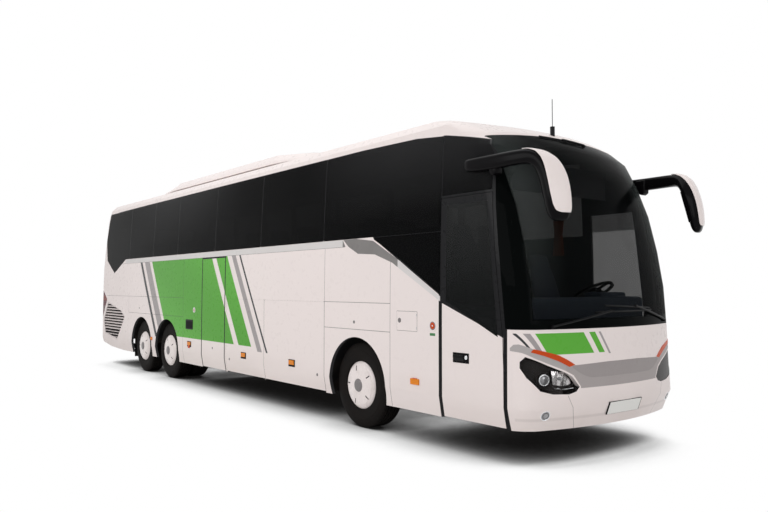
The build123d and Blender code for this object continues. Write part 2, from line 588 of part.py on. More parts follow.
cab = block(SALOON_FRONT, CAB_FRONT, -200.0, 1190.0, CAB_FLOOR - 60.0, CAB_FLOOR)
cab += end_prism(stair_profile(-1120.0, -190.0, stair_base, 166.0, 300.0, 3), SALOON_FRONT + 80.0, CAB_FRONT)
cab += block(SALOON_FRONT + 1.0, SALOON_FRONT + 31.0, STAIR_MOUTH, -STAIR_MOUTH, stair_base, under_floor)
cab += block(2200.0, 2300.0, 900.0, 1000.0, stair_base, CAB_FLOOR - 60.0)
keep("cab_floor", cab)

# ---- seats and driver's place -----------------------------------------------------------------
SEAT_WIDE = 940.0
SEAT_FRONT_X = 260.0
SEAT_BASE = 330.0
BACK_LOW = 300.0
LEG_HALF = 30.0
cushion_profile = ((0.0, SEAT_BASE), (0.0, 445.0), (440.0, 470.0), (470.0, 430.0), (460.0, SEAT_BASE))
back_profile = ((-22.0, BACK_LOW), (-105.0, BACK_LOW), (-330.0, 1080.0), (-300.0, 1130.0), (-225.0, 1110.0),
                (-150.0, 800.0), (-20.0, 480.0))


def seat(x, y0, y1, floor_z):
    """One seat bench: cushion, reclined back with its headrest, a pedestal and a rear brace."""
    cushion = side_prism([(x + px, floor_z + pz) for px, pz in cushion_profile], y0, y1)
    back = side_prism([(x + px - 2.0, floor_z + pz) for px, pz in back_profile], y0, y1)
    middle = (y0 + y1) / 2
    ends = middle - LEG_HALF, middle + LEG_HALF
    leg = block(x + 100.0, x + 360.0, *ends, floor_z + SEAL, floor_z + SEAT_BASE - SEAL)
    brace = block(x - 60.0, x - 30.0, *ends, floor_z + SEAL, floor_z + BACK_LOW - SEAL)
    return cushion, back, leg, brace


seats = []
outer = lining_up - 25.0
for row in range(SEAT_ROWS):
    x = SEAT_FRONT_X - row * SEAT_PITCH
    z = FLOOR_TOP + PLATFORM
    seats += seat(x, outer - SEAT_WIDE, outer, z)
    if x + 520.0 < STAIR_X[0] or x - 340.0 > STAIR_X[1]:
        seats += seat(x, -outer, -outer + SEAT_WIDE, z)
seats += seat(1520.0, 330.0, 850.0, CAB_FLOOR + 60.0)
seats.append(block(1460.0, 2000.0, 360.0, 820.0, CAB_FLOOR + SEAL, CAB_FLOOR + 60.0))
keep("seats", *seats)

dash_profile = ((2150.0, CAB_FLOOR + SEAL), (2150.0, 1250.0), (2090.0, 1400.0), (2200.0, 1440.0),
                (2560.0, 1290.0), (2560.0, 1180.0), (CAB_FRONT - 30.0, CAB_FLOOR + SEAL))
keep("dashboard", side_prism(dash_profile, -150.0, 1050.0))
WHEEL_TILT = -28.0
WHEEL_HUB = (2060.0, 590.0, 1640.0)
STEERING_RADIUS = 240.0
STEERING_SIDES = 32
steer = Pos(at_x(WHEEL_HUB[0]), WHEEL_HUB[1], WHEEL_HUB[2]) * Rot(0, WHEEL_TILT, 0)
rim = RegularPolygon(STEERING_RADIUS, STEERING_SIDES) - RegularPolygon(STEERING_RADIUS - 32.0, STEERING_SIDES)
spoke = 2 * STEERING_RADIUS - 40.0
wheel = steer * (Pos(0, 0, -13.0) * extrude(rim, 26.0) + Box(150.0, 110.0, 40.0) + Box(spoke, 36.0, 18.0)
                 + Box(36.0, spoke, 18.0) + Pos(0, 0, -150.0) * Cylinder(32.0, 260.0))
wheel = wheel - side_prism(grown(dash_profile, SEAL), -200.0, 1100.0)
keep("steering_wheel", max(wheel.solids(), key=lambda solid: solid.volume))

# ---- steered axle -----------------------------------------------------------------------------
BOSS = 52.0
YOKE = 34.0
KNUCKLE_HALF = 62.0
ARM_HALF_WIDTH = 30.0
ARM_THICK = 26.0
TRACK_PIN = 14.0
TRACK_RADIUS = 17.0
yoke_low = TYRE_RADIUS - KNUCKLE_HALF - SEAL
yoke_high = TYRE_RADIUS + KNUCKLE_HALF + SEAL
arm_high = yoke_low - YOKE
arm_low = arm_high - ARM_THICK
rod_level = arm_low - 24.0
BEAM_LOW = arm_high + PANEL_GAP
BEAM_HIGH = BEAM_LOW + 80.0
SPRING_RADIUS = 70.0
beam = block(-55.0, 55.0, -KINGPIN_Y + 60.0, KINGPIN_Y - 60.0, BEAM_LOW, BEAM_HIGH)
fist_span = TYRE_RADIUS - KNUCKLE_HALF, TYRE_RADIUS + KNUCKLE_HALF
fist = rod_z(0.0, -KINGPIN_Y, *fist_span, BOSS)
fist += block(-BOSS, BOSS, -KINGPIN_Y, -KINGPIN_Y + 120.0, *fist_span)
pin_hole = rod_z(0.0, -KINGPIN_Y, UNDER, RAIL_HIGH, KINGPIN_RADIUS + SEAL)
springs = pair(rod_z(0.0, -RAIL_MIDDLE, BEAM_HIGH, RAIL_LOW - SEAL, SPRING_RADIUS))
keep("front_axle", minus(beam + pair(fist) + springs, pin_hole, other_side(pin_hole)))

STUB_END = TYRE_CENTRE + 140.0
WEB_NEAR = KINGPIN_Y + BOSS + PANEL_GAP
WEB_FAR = KINGPIN_Y + 90.0
knuckle = rod_z(0.0, -KINGPIN_Y, yoke_low - YOKE, yoke_high + YOKE, KINGPIN_RADIUS)
for z0 in (yoke_low - YOKE, yoke_high):
    knuckle += rod_z(0.0, -KINGPIN_Y, z0, z0 + YOKE, BOSS)
    knuckle += block(-BOSS, BOSS, -WEB_FAR, -KINGPIN_Y, z0, z0 + YOKE)
knuckle += block(-BOSS, BOSS, -WEB_FAR, -WEB_NEAR, yoke_low - YOKE, yoke_high + YOKE)
knuckle += rod_y(0.0, -STUB_END, -WEB_FAR + 10.0, TYRE_RADIUS, STUB_RADIUS)
knuckle += block(-TRACK_ARM, 0.0, -KINGPIN_Y - ARM_HALF_WIDTH, -KINGPIN_Y + ARM_HALF_WIDTH, arm_low, arm_high)
knuckle += rod_z(-TRACK_ARM, -KINGPIN_Y, arm_low, arm_high, ARM_HALF_WIDTH)
knuckle += rod_z(-TRACK_ARM, -KINGPIN_Y, rod_level - 20.0, arm_high, TRACK_PIN)
keep("knuckle_right", knuckle)
keep("knuckle_left", other_side(knuckle))
track_rod = rod_y(-TRACK_ARM, -KINGPIN_Y, KINGPIN_Y, rod_level, TRACK_RADIUS)
track_rod += pair(rod_z(-TRACK_ARM, -KINGPIN_Y, rod_level - 20.0, rod_level + 20.0, ARM_HALF_WIDTH))
track_hole = rod_z(-TRACK_ARM, -KINGPIN_Y, UNDER, BEAM_HIGH, TRACK_PIN + SEAL)
keep("track_rod", minus(track_rod, track_hole, other_side(track_hole)))

# ---- wheels -----------------------------------------------------------------------------------
WHEEL_SIDES = 48
HUB_SIDES = 24
BORE = STUB_RADIUS + SEAL
BORE_END = STUB_END - TYRE_CENTRE + 3.0
HUB_RADIUS = 95.0
DRUM_RADIUS = 200.0
DRUM_BACK = -95.0
RIM_SHEET = 14.0
DISC_BACK = 90.0
COVER_SLOTS = 5
SLOT_RADIUS = 207.0
SLOT_TURN = 15.0             # the first slot, from the top of the wheel
SLOT_SIZE = (11.0, 40.0, 56.0)


def turned(stations, x, y, sides=WHEEL_SIDES):
    """Many-sided solid about a wheel's axle, a flat side down, from (outward offset, radius) stations."""
    rings = []
    angles = [(i + 0.5) * 2 * math.pi / sides for i in range(sides)]
    for offset, radius in stations:
        corner = radius / math.cos(math.pi / sides)
        rings.append(Wire.make_polygon([Vector(at_x(x) + corner * math.sin(a), y - offset,
                                               TYRE_RADIUS + corner * math.cos(a)) for a in angles]))
    return Solid.make_loft(rings, True)


TYRE_SHAPE = ((-TYRE_HALF_WIDTH, SIDEWALL_RADIUS), (-TREAD_HALF_WIDTH, TYRE_RADIUS),
              (TREAD_HALF_WIDTH, TYRE_RADIUS), (TYRE_HALF_WIDTH, SIDEWALL_RADIUS))
TYRE_BORE = ((-TYRE_HALF_WIDTH - 1.0, RIM_RADIUS + SEAL), (TYRE_HALF_WIDTH + 1.0, RIM_RADIUS + SEAL))
COVER = ((RIM_HALF_WIDTH + 10.0, RIM_RADIUS), (COVER_REACH - 38.0, 250.0), (COVER_REACH - 30.0, 240.0),
         (COVER_REACH - 14.0, 160.0), (COVER_REACH - 12.0, 80.0), (COVER_REACH, 70.0))
SINGLE = ((-RIM_HALF_WIDTH, RIM_RADIUS),) + COVER
SINGLE_DISH = ((-RIM_HALF_WIDTH - 1.0, RIM_RADIUS - RIM_SHEET), (DISC_BACK, RIM_RADIUS - 24.0))
TWIN_IN = -TWIN_SPACING - RIM_HALF_WIDTH
TWIN_OUT = -TWIN_SPACING + RIM_HALF_WIDTH
TWIN = ((TWIN_IN, RIM_RADIUS), (TWIN_OUT, RIM_RADIUS), (TWIN_OUT + 6.0, RIM_RADIUS - 30.0),
        (-RIM_HALF_WIDTH - 6.0, RIM_RADIUS - 30.0), (-RIM_HALF_WIDTH, RIM_RADIUS)) + COVER
TWIN_DISH = ((TWIN_IN - 1.0, RIM_RADIUS - RIM_SHEET), (TWIN_OUT, RIM_RADIUS - 50.0),
             (DISC_BACK, RIM_RADIUS - 50.0))
DRUM = ((DRUM_BACK, DRUM_RADIUS), (-10.0, DRUM_RADIUS), (0.0, HUB_RADIUS), (DISC_BACK + 1.0, HUB_RADIUS))
WHEELS = (
    # name, x, outside, dish behind the disc, number of tyres
    ("front", 0.0, SINGLE, SINGLE_DISH, 1),
    ("drive", DRIVE_X, TWIN, TWIN_DISH, 2),
    ("tag", TAG_X, SINGLE, SINGLE_DISH, 1),
)
for name, x, outside, dish, count in WHEELS:
    wheel = turned(outside, x, -TYRE_CENTRE) - turned(dish, x, -TYRE_CENTRE)
    wheel += turned(DRUM, x, -TYRE_CENTRE, HUB_SIDES)
    middle = Pos(at_x(x), -TYRE_CENTRE - COVER_REACH + 26.0, TYRE_RADIUS)
    slots = [middle * Rot(0, SLOT_TURN + i * 360.0 / COVER_SLOTS, 0) * Pos(0, 0, SLOT_RADIUS) * Box(*SLOT_SIZE)
             for i in range(COVER_SLOTS)]
    wheel = minus(wheel, rod_y(x, -TYRE_CENTRE - BORE_END, 0.0, TYRE_RADIUS, BORE), *slots)
    tyres = []
    for i in range(count):
        y = -TYRE_CENTRE + i * TWIN_SPACING
        tyres.append(turned(TYRE_SHAPE, x, y) - turned(TYRE_BORE, x, y))
    keep(name + "_wheel_right", wheel)
    keep(name + "_wheel_left", other_side(wheel))
    keep(name + "_tyre_right", *tyres)
    keep(name + "_tyre_left", *[other_side(tyre) for tyre in tyres])

# ---- rear axles, engine -----------------------------------------------------------------------
TUBE = 75.0
TUBE_END = 710.0
DROP_LOW = 350.0             # the tag axle dips under the propeller shaft
DROP_HIGH = 440.0
DROP_HALF = 480.0
GEARBOX_FRONT = -7900.0
PROP_RADIUS = 40.0
drive = rod_y(DRIVE_X, -STUB_END, STUB_END, TYRE_RADIUS, STUB_RADIUS)
drive += rod_y(DRIVE_X, -TUBE_END, TUBE_END, TYRE_RADIUS, TUBE)
drive += Pos(at_x(DRIVE_X), 0, TYRE_RADIUS) * Rot(90, 0, 0) * Cylinder(200.0, 180.0)
drive += rod_x(DRIVE_X - 330.0, DRIVE_X, 0.0, TYRE_RADIUS, 80.0)
drive += rod_x(GEARBOX_FRONT + SEAL, DRIVE_X - 330.0, 0.0, TYRE_RADIUS, PROP_RADIUS)
drive += pair(rod_z(DRIVE_X, -RAIL_MIDDLE, TYRE_RADIUS, RAIL_LOW - SEAL, SPRING_RADIUS))
tag = rod_y(TAG_X, -STUB_END, -TUBE_END + 10.0, TYRE_RADIUS, STUB_RADIUS)
tag += rod_y(TAG_X, -TUBE_END, -DROP_HALF + 60.0, TYRE_RADIUS, TUBE)
tag += block(TAG_X - 60.0, TAG_X + 60.0, -DROP_HALF, -DROP_HALF + 120.0, DROP_LOW, TYRE_RADIUS + 60.0)
tag += rod_z(TAG_X, -RAIL_MIDDLE, TYRE_RADIUS, RAIL_LOW - SEAL, SPRING_RADIUS)
tag = pair(tag) + block(TAG_X - 50.0, TAG_X + 50.0, -DROP_HALF, DROP_HALF, DROP_LOW, DROP_HIGH)
keep("rear_axles", drive, tag)

ENGINE_REAR = -9300.0
ENGINE_FRONT = -8250.0
MOUNT = 100.0
engine = block(ENGINE_REAR, ENGINE_FRONT, -RAIL_Y + 20.0, RAIL_Y - 20.0, 520.0, 1200.0)
engine += block(ENGINE_FRONT, GEARBOX_FRONT, -220.0, 220.0, 400.0, 740.0)
for x in (ENGINE_REAR + 200.0, ENGINE_FRONT - 250.0):
    engine += pair(block(x, x + MOUNT, -RAIL_Y - 70.0, -RAIL_Y + 60.0, RAIL_HIGH + SEAL, RAIL_HIGH + 50.0))
keep("engine", engine)

# ---- roof fittings ----------------------------------------------------------------------------
AC_SECTIONS = (
    # x, half width at the foot, height at the middle
    (-1150.0, 700.0, 3566.0), (-1700.0, 930.0, 3640.0), (-2600.0, 1020.0, 3715.0), (-6400.0, 1020.0, 3715.0),
    (-7050.0, 960.0, 3640.0), (-7350.0, 860.0, 3570.0),
)
AC_LOW = ROOF_HEIGHT + SEAL
HATCH_HALF = 380.0
HATCH_X = (-400.0, -8350.0)
ANTENNA_X = 1975.0
ANTENNA_TOP = 3790.0


def ac_rib(x, half, high):
    """One section of the cooling unit's fairing, with its shoulders drawn in."""
    edge = half - 120.0
    shoulder = AC_LOW + 0.35 * (high - AC_LOW)
    points = ((-half, AC_LOW), (half, AC_LOW), (half - 20.0, shoulder), (edge, high), (-edge, high),
              (-half + 20.0, shoulder))
    return Wire.make_polygon([Vector(at_x(x), y, z) for y, z in points])


hatches = [block(x - HATCH_HALF, x + HATCH_HALF, -330.0, 330.0, AC_LOW, ROOF_HEIGHT + 45.0) for x in HATCH_X]
antenna_foot = rod_z(ANTENNA_X, 0.0, 3300.0, 3480.0, 26.0) - PROUD
antenna = antenna_foot + rod_z(ANTENNA_X, 0.0, 3460.0, ANTENNA_TOP, 4.0)
keep("roof_fittings", Solid.make_loft([ac_rib(*row) for row in AC_SECTIONS], True), *hatches, antenna)

# ---- mirrors and wipers -----------------------------------------------------------------------
MIRROR_SECTIONS = (
    # x behind the mirror's front, z, slope of the path in degrees, y from the outside, half width, half depth
    (1190.0, 2946.0, 0.0, 38.0, 18.0, 14.0),
    (1130.0, 2950.0, 2.0, 42.0, 38.0, 36.0),
    (600.0, 2985.0, 4.0, 42.0, 42.0, 42.0),
    (280.0, 3002.0, 0.0, 62.0, 58.0, 48.0),
    (135.0, 2975.0, -38.0, 112.0, 92.0, 52.0),
    (62.0, 2880.0, -75.0, 150.0, 118.0, 54.0),
    (52.0, 2640.0, -91.0, 160.0, 130.0, 52.0),
    (70.0, 2390.0, -95.0, 160.0, 126.0, 46.0),
    (82.0, 2290.0, -97.0, 158.0, 88.0, 28.0),
)
OCTAGON = ((1.0, 0.45), (0.72, 1.0), (-0.72, 1.0), (-1.0, 0.45), (-1.0, -0.45), (-0.72, -1.0), (0.72, -1.0),
           (1.0, -0.45))


def mirror_ring(back, z, slope, inward, half, depth):
    """Eight-cornered section across the mirror's path."""
    turn = math.radians(slope)
    corners = []
    for across, out in OCTAGON:
        corners.append(Vector(at_x(MIRROR_REACH - back - out * depth * math.sin(turn)),
                              -MIRROR_WIDTH + inward + across * half, z + out * depth * math.cos(turn)))
    return Wire.make_polygon(corners)


mirror = Solid.make_loft([mirror_ring(*row) for row in MIRROR_SECTIONS], True)
MIRROR_FOOT = ((2200.0, 2950.0), (2350.0, 2960.0), (2345.0, 2770.0), (2280.0, 2750.0))
foot = side_prism(MIRROR_FOOT, -MIRROR_WIDTH + 12.0, -1100.0) - PROUD
mirror = mirror + max(foot.solids(), key=lambda solid: solid.volume)
keep("mirrors", mirror, other_side(mirror))

wiper_skin = hull(-26.0) - PROUD
WIPERS = (
    # outline of blade and arm in front view, as (y, z) points
    ((-900.0, 1335.0), (-880.0, 1372.0), (-150.0, 1400.0), (-150.0, 1372.0)),
    ((80.0, 1335.0), (90.0, 1370.0), (850.0, 1430.0), (850.0, 1400.0)),
    ((-400.0, 3275.0), (-400.0, 3300.0), (300.0, 3300.0), (300.0, 3275.0)),
)
keep("wipers", *[wiper_skin & end_prism(outline, 1800.0, FRONT_END) for outline in WIPERS])
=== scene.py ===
"""Looks of a three-axle touring coach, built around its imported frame.

Metres, +X forward, +Y to the coach's left, +Z up. Each operator dresses one group of pieces; the panel in
the sidebar lists them in the order in which they are made.
"""

import json
import math

import bmesh
import bpy
from bpy.props import FloatProperty, FloatVectorProperty, PointerProperty
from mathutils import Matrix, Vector
from mathutils.bvhtree import BVHTree

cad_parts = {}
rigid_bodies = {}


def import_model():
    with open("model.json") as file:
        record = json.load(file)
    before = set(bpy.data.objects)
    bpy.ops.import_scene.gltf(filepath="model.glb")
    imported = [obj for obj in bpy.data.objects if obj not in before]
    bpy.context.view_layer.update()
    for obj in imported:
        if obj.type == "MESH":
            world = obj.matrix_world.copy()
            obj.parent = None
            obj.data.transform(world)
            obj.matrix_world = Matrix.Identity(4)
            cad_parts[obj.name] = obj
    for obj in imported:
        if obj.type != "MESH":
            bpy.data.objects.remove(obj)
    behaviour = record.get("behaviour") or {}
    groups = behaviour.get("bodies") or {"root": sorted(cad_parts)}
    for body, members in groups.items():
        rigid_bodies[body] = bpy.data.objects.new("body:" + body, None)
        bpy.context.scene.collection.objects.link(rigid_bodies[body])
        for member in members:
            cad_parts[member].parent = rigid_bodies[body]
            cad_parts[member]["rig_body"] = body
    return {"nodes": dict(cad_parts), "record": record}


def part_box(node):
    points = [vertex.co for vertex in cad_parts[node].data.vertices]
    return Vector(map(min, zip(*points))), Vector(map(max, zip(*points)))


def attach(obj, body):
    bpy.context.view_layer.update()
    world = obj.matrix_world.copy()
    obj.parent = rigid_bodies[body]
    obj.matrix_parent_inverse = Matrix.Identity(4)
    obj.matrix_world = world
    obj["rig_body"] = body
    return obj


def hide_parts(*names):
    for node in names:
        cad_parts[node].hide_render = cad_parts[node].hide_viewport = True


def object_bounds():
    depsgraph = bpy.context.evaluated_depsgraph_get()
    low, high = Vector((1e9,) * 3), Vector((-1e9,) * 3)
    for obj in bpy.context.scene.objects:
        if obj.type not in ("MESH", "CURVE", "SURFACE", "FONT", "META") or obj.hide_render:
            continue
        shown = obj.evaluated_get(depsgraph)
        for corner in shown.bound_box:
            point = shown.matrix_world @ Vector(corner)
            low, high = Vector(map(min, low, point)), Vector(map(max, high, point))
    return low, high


bl_info = {
    "name": "Touring Coach",
    "version": (1, 0, 0),
    "blender": (4, 5, 0),
    "location": "View3D > Sidebar > Coach",
    "description": "Dresses the frame of a three-axle touring coach",
    "category": "Object",
}

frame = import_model()
CAD_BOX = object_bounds()
NODES = frame["nodes"]
SLOTS = {row["node"]: row["material_slot"] for row in frame["record"]["subparts"]}


def middle(node):
    low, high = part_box(node)
    return (low + high) / 2


AXLE_X = middle("front_axle").x
DRIVE_X = middle("drive_tyre_right").x - AXLE_X
TAG_X = middle("tag_tyre_right").x - AXLE_X
WHEEL_Z = middle("front_wheel_right").z
TYRE_Y = -middle("front_tyre_right").y
TWIN_SPACING = 0.333
HALF_WIDTH = 1.275
SKIN_INSETS = (
    # height, how far the side lies inside the widest part
    (0.345, 0.037), (0.56, 0.0), (1.27, 0.0), (1.7, 0.003), (2.1, 0.008), (2.5, 0.022), (2.85, 0.04),
    (3.12, 0.053), (3.3, 0.068), (3.42, 0.09), (3.51, 0.165), (3.56, 0.475),
)
UP = Vector((0.0, 0.0, 1.0))
FORWARD = Vector((1.0, 0.0, 0.0))
FRONT_NODES = ("front_fascia", "headlamps", "silver_trim", "marker_lamps", "windscreen", "front_dome")
SCREEN_NODES = ("windscreen", "front_dome", "front_fascia")
REAR_NODES = ("rear_panel", "engine_lid", "rear_window")
RAY_AHEAD, RAY_BEHIND, RAY_ABOVE = 4.0, -12.0, 5.0       # where rays start


def at(x, y, z):
    """A point given from the front axle, in the frame's own axes."""
    return Vector((AXLE_X + x, y, z))


def skin_half(z):
    """Half the width of the body's outside at a height."""
    for (z0, inset0), (z1, inset1) in zip(SKIN_INSETS, SKIN_INSETS[1:]):
        if z <= z1:
            share = max(0.0, (z - z0) / (z1 - z0))
            return HALF_WIDTH - inset0 - share * (inset1 - inset0)
    return HALF_WIDTH - SKIN_INSETS[-1][1]


surfaces = {}


def surface(node):
    """A CAD node's triangles, sorted for rays."""
    if node not in surfaces:
        mesh = NODES[node].data
        surfaces[node] = BVHTree.FromPolygons([vertex.co for vertex in mesh.vertices],
                                              [tuple(face.vertices) for face in mesh.polygons])
    return surfaces[node]


def touch(nodes, origin, direction):
    """Where a ray first meets one of some CAD nodes, and the way that the surface faces there."""
    hits = [surface(node).ray_cast(origin, direction) for node in nodes]
    hits = [hit for hit in hits if hit[0] is not None]
    if not hits:
        raise RuntimeError("no surface met from " + str(tuple(origin)))
    return min(hits, key=lambda hit: hit[3])[:2]


def on_front(y, z, proud=0.0, nodes=FRONT_NODES):
    """A point on the front, seen from ahead."""
    spot, normal = touch(nodes, at(RAY_AHEAD, y, z), -FORWARD)
    return spot + normal * proud


# ---- shader arithmetic ------------------------------------------------------------------------
def plug(socket, value):
    """Link a field to a socket, or give the socket a plain value."""
    if isinstance(value, Field):
        value.tree.links.new(value.socket, socket)
    else:
        socket.default_value = value


def maths(operation, swapped=False):
    """A method that joins a field with other values in one math node."""
    def method(self, *others):
        values = (*others, self) if swapped else (self, *others)
        return self.node("ShaderNodeMath", {"operation": operation}, dict(enumerate(values)))
    return method


class Field:
    """A shader socket that takes part in Python arithmetic."""
    __add__ = __radd__ = maths("ADD")
    __sub__ = maths("SUBTRACT")
    __rsub__ = maths("SUBTRACT", swapped=True)
    __mul__ = __rmul__ = maths("MULTIPLY")
    __abs__ = maths("ABSOLUTE")
    max = maths("MAXIMUM")
    min = maths("MINIMUM")
    power = maths("POWER")
    sine = maths("SINE")
    fraction = maths("FRACT")

    def __init__(self, tree, socket):
        self.tree = tree
        self.socket = socket

    def node(self, kind, settings=(), inputs=(), output=0):
        """One node: its settings first, then the values or links of its sockets."""
        made = self.tree.nodes.new(kind)
        for key, value in dict(settings).items():
            setattr(made, key, value)
        for key, value in dict(inputs).items():
            plug(made.inputs[key], value)
        return Field(self.tree, made.outputs[output])

    def ramp(self, slope, start):
        """The value times a slope, plus a start, held between zero and one."""
        return self.node("ShaderNodeMath", {"operation": "MULTIPLY_ADD", "use_clamp": True},
                         {0: self, 1: slope, 2: start})

    def above(self, edge, soft=0.001):
        """One where the value is over an edge, with a soft step."""
        return self.ramp(1.0 / soft, 0.5 - edge / soft)

    def below(self, edge, soft=0.001):
        return self.ramp(-1.0 / soft, 0.5 + edge / soft)

    def between(self, low, high, soft=0.001):
        return self.above(low, soft) * self.below(high, soft)


def seen_straight(tree):
    """One for rays from the camera, off a mirror or through glass."""
    path = tree.nodes.new("ShaderNodeLightPath")
    camera, glossy, through = (Field(tree, path.outputs["Is %s Ray" % kind])
                               for kind in ("Camera", "Glossy", "Transmission"))
    return camera.max(glossy).max(through)


finishes = {}


class Finish:
    """A material with one Principled shader, kept in finishes, with helpers for its patterns."""

    def __init__(self, name, colour, rough, metal=0.0, coat=0.0, specular=0.5, **sockets):
        self.material = finishes[name] = bpy.data.materials.new(name)
        self.material.use_nodes = True
        self.tree = self.material.node_tree
        self.shader = self.tree.nodes["Principled BSDF"]
        self.set(**{"Base Color": (*colour, 1.0), "Roughness": rough, "Metallic": metal, "Coat Weight": coat,
                    "Coat Roughness": 0.03, "Specular IOR Level": specular}, **sockets)
        coords = self.tree.nodes.new("ShaderNodeTexCoord")
        self.where = Field(self.tree, coords.outputs["Object"])
        axes = self.tree.nodes.new("ShaderNodeSeparateXYZ")
        plug(axes.inputs[0], self.where)
        self.x, self.y, self.z = (Field(self.tree, socket) for socket in axes.outputs)

    def set(self, **values):
        for key, value in values.items():
            plug(self.shader.inputs[key], value)

    def noise(self, scale, detail=3.0, stretch=None):
        where = self.where
        if stretch:
            where = where.node("ShaderNodeVectorMath", {"operation": "MULTIPLY"}, {0: where, 1: stretch})
        return where.node("ShaderNodeTexNoise", {}, {"Vector": where, "Scale": scale, "Detail": detail})

    def cells(self, scale):
        return self.where.node("ShaderNodeTexVoronoi", {}, {"Vector": self.where, "Scale": scale})

    def mix(self, factor, first, second):
        """Colour mixed by a factor; a colour is three numbers or a field."""
        ends = [colour if isinstance(colour, Field) else (*colour, 1.0) for colour in (first, second)]
        return self.where.node("ShaderNodeMix", {"data_type": "RGBA"}, {0: factor, 6: ends[0], 7: ends[1]}, 2)

    def colour(self, factor, first, second):
        self.set(**{"Base Color": self.mix(factor, first, second)})

    def bump(self, height, strength, distance):
        self.set(Normal=height.node("ShaderNodeBump", {},
                                    {"Strength": strength, "Distance": distance, "Height": height}))


# ---- modelling helpers ------------------------------------------------------------------------
def activate(*objects):
    for obj in bpy.context.view_layer.objects:
        obj.select_set(obj in objects)
    bpy.context.view_layer.objects.active = objects[0]


def wear(obj, *looks):
    """Give a piece its finishes."""
    obj.data.materials.clear()
    for look in looks:
        obj.data.materials.append(finishes[look])
    return obj


def edit(obj, select="SELECT", mode="VERT"):
    activate(obj)
    bpy.ops.object.mode_set(mode="EDIT")
    bpy.ops.mesh.select_mode(type="VERT")
    bpy.ops.mesh.select_all(action=select)
    bpy.ops.mesh.select_mode(type=mode)


def leave():
    bpy.ops.mesh.select_mode(type="VERT")
    bpy.ops.object.mode_set(mode="OBJECT")


def settle(obj):
    """Put a piece's place, turn and size into its mesh."""
    activate(obj)
    bpy.ops.object.transform_apply(location=True, rotation=True, scale=True)
    return obj


def outwards(obj):
    """Turn every face outwards."""
    edit(obj)
    bpy.ops.mesh.normals_make_consistent(inside=False)
    leave()
    return obj


def merged(obj):
    """Merge vertices that lie in one place."""
    edit(obj)
    bpy.ops.mesh.remove_doubles(threshold=0.00005)
    leave()
    return obj


def smooth(obj, angle=30.0):
    activate(obj)
    bpy.ops.object.shade_smooth_by_angle(angle=math.radians(angle))
    return obj


def apply_modifier(obj, kind, **settings):
    activate(obj)
    made = obj.modifiers.new(kind.lower(), kind)
    for key, value in settings.items():
        setattr(made, key, value)
    bpy.ops.object.modifier_apply(modifier=made.name)
    return obj


def rounded(obj, width, segments=2):
    return apply_modifier(obj, "BEVEL", width=width, segments=segments, limit_method="ANGLE",
                          angle_limit=math.radians(30.0), harden_normals=False)


def softened(obj):
    """A subdivision surface over a piece."""
    return smooth(apply_modifier(obj, "SUBSURF", levels=1, render_levels=1), 60.0)


def join(*objects):
    activate(*objects)
    bpy.ops.object.join()
    return bpy.context.object


def drop(obj):
    bpy.data.objects.remove(obj)


def copy_of(obj, shift=(0.0, 0.0, 0.0)):
    """A copy with its own mesh, moved."""
    activate(obj)
    bpy.ops.object.duplicate()
    copy = bpy.context.object
    copy.location = Vector(copy.location) + Vector(shift)
    return settle(copy)


def mirrored(obj):
    """Move a piece to the coach's other side."""
    obj.scale = (1.0, -1.0, 1.0)
    return outwards(settle(obj))


def other_side(obj):
    """The same piece on the coach's other side."""
    return mirrored(copy_of(obj))


def pair(obj):
    """A piece joined with its mirror image."""
    return join(obj, other_side(obj))


def finish(obj, name, *looks, node=None, body="body", slot=None, padded=None):
    """Name and dress a finished piece; it takes its body from the CAD node that it stands for."""
    settle(obj)
    obj.name = name
    obj.data.name = name
    if looks:
        wear(obj, *looks)
    if node:
        body, slot = NODES[node]["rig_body"], SLOTS[node]
    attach(obj, body)
    if node:
        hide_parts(node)
    return obj


def box(low, high, bevel=0.0, segments=2):
    """A box between two corners, with rounded edges."""
    low, high = Vector(low), Vector(high)
    bpy.ops.mesh.primitive_cube_add(size=1.0, location=(low + high) / 2)
    made = bpy.context.object
    made.scale = high - low
    settle(made)
    if bevel:
        edit(made)
        bpy.ops.mesh.bevel(offset=bevel, segments=segments, affect="EDGES")
        leave()
    return made


def outline(points):
    """A flat face with its corners at some points."""
    bpy.ops.mesh.primitive_circle_add(vertices=len(points), radius=1.0, fill_type="NGON")
    made = bpy.context.object
    for vertex, point in zip(made.data.vertices, points):
        vertex.co = Vector(point)
    return made


def extrude(shift, edges=False):
    kind = bpy.ops.mesh.extrude_edges_move if edges else bpy.ops.mesh.extrude_region_move
    kind(TRANSFORM_OT_translate={"value": tuple(shift)})


def plate(points, push, bevel=0.0, segments=2):
    """A flat or gently curved plate: its outline, and how far it is pushed out of it."""
    made = outline(points)
    edit(made)
    extrude(push)
    leave()
    outwards(made)
    return rounded(made, bevel, segments) if bevel else made


def bar(start, end, radius, vertices=16):
    """A round bar between two points."""
    start, end = Vector(start), Vector(end)
    along = end - start
    turn = along.to_track_quat("Z", "Y").to_euler()
    bpy.ops.mesh.primitive_cone_add(vertices=vertices, radius1=radius, radius2=radius, depth=along.length,
                                    location=(start + end) / 2, rotation=turn)
    return settle(bpy.context.object)


def turned(centre, stations, vertices=96, closed=False):
    """A turned piece about an axle: stations are (outward offset towards -Y, radius) pairs."""
    centre = Vector(centre)
    last, width = stations[0]
    fill = "NOTHING" if closed else "NGON"
    bpy.ops.mesh.primitive_circle_add(vertices=vertices, radius=width, fill_type=fill,
                                      location=centre - Vector((0, last, 0)), rotation=(math.pi / 2, 0, 0))
    made = settle(bpy.context.object)
    edit(made)
    for offset, radius in stations[1:]:
        extrude((0, last - offset, 0), edges=closed)
        bpy.ops.transform.resize(value=(radius / width, 1.0, radius / width), center_override=centre)
        last, width = offset, radius
    leave()
    return outwards(merged(made))


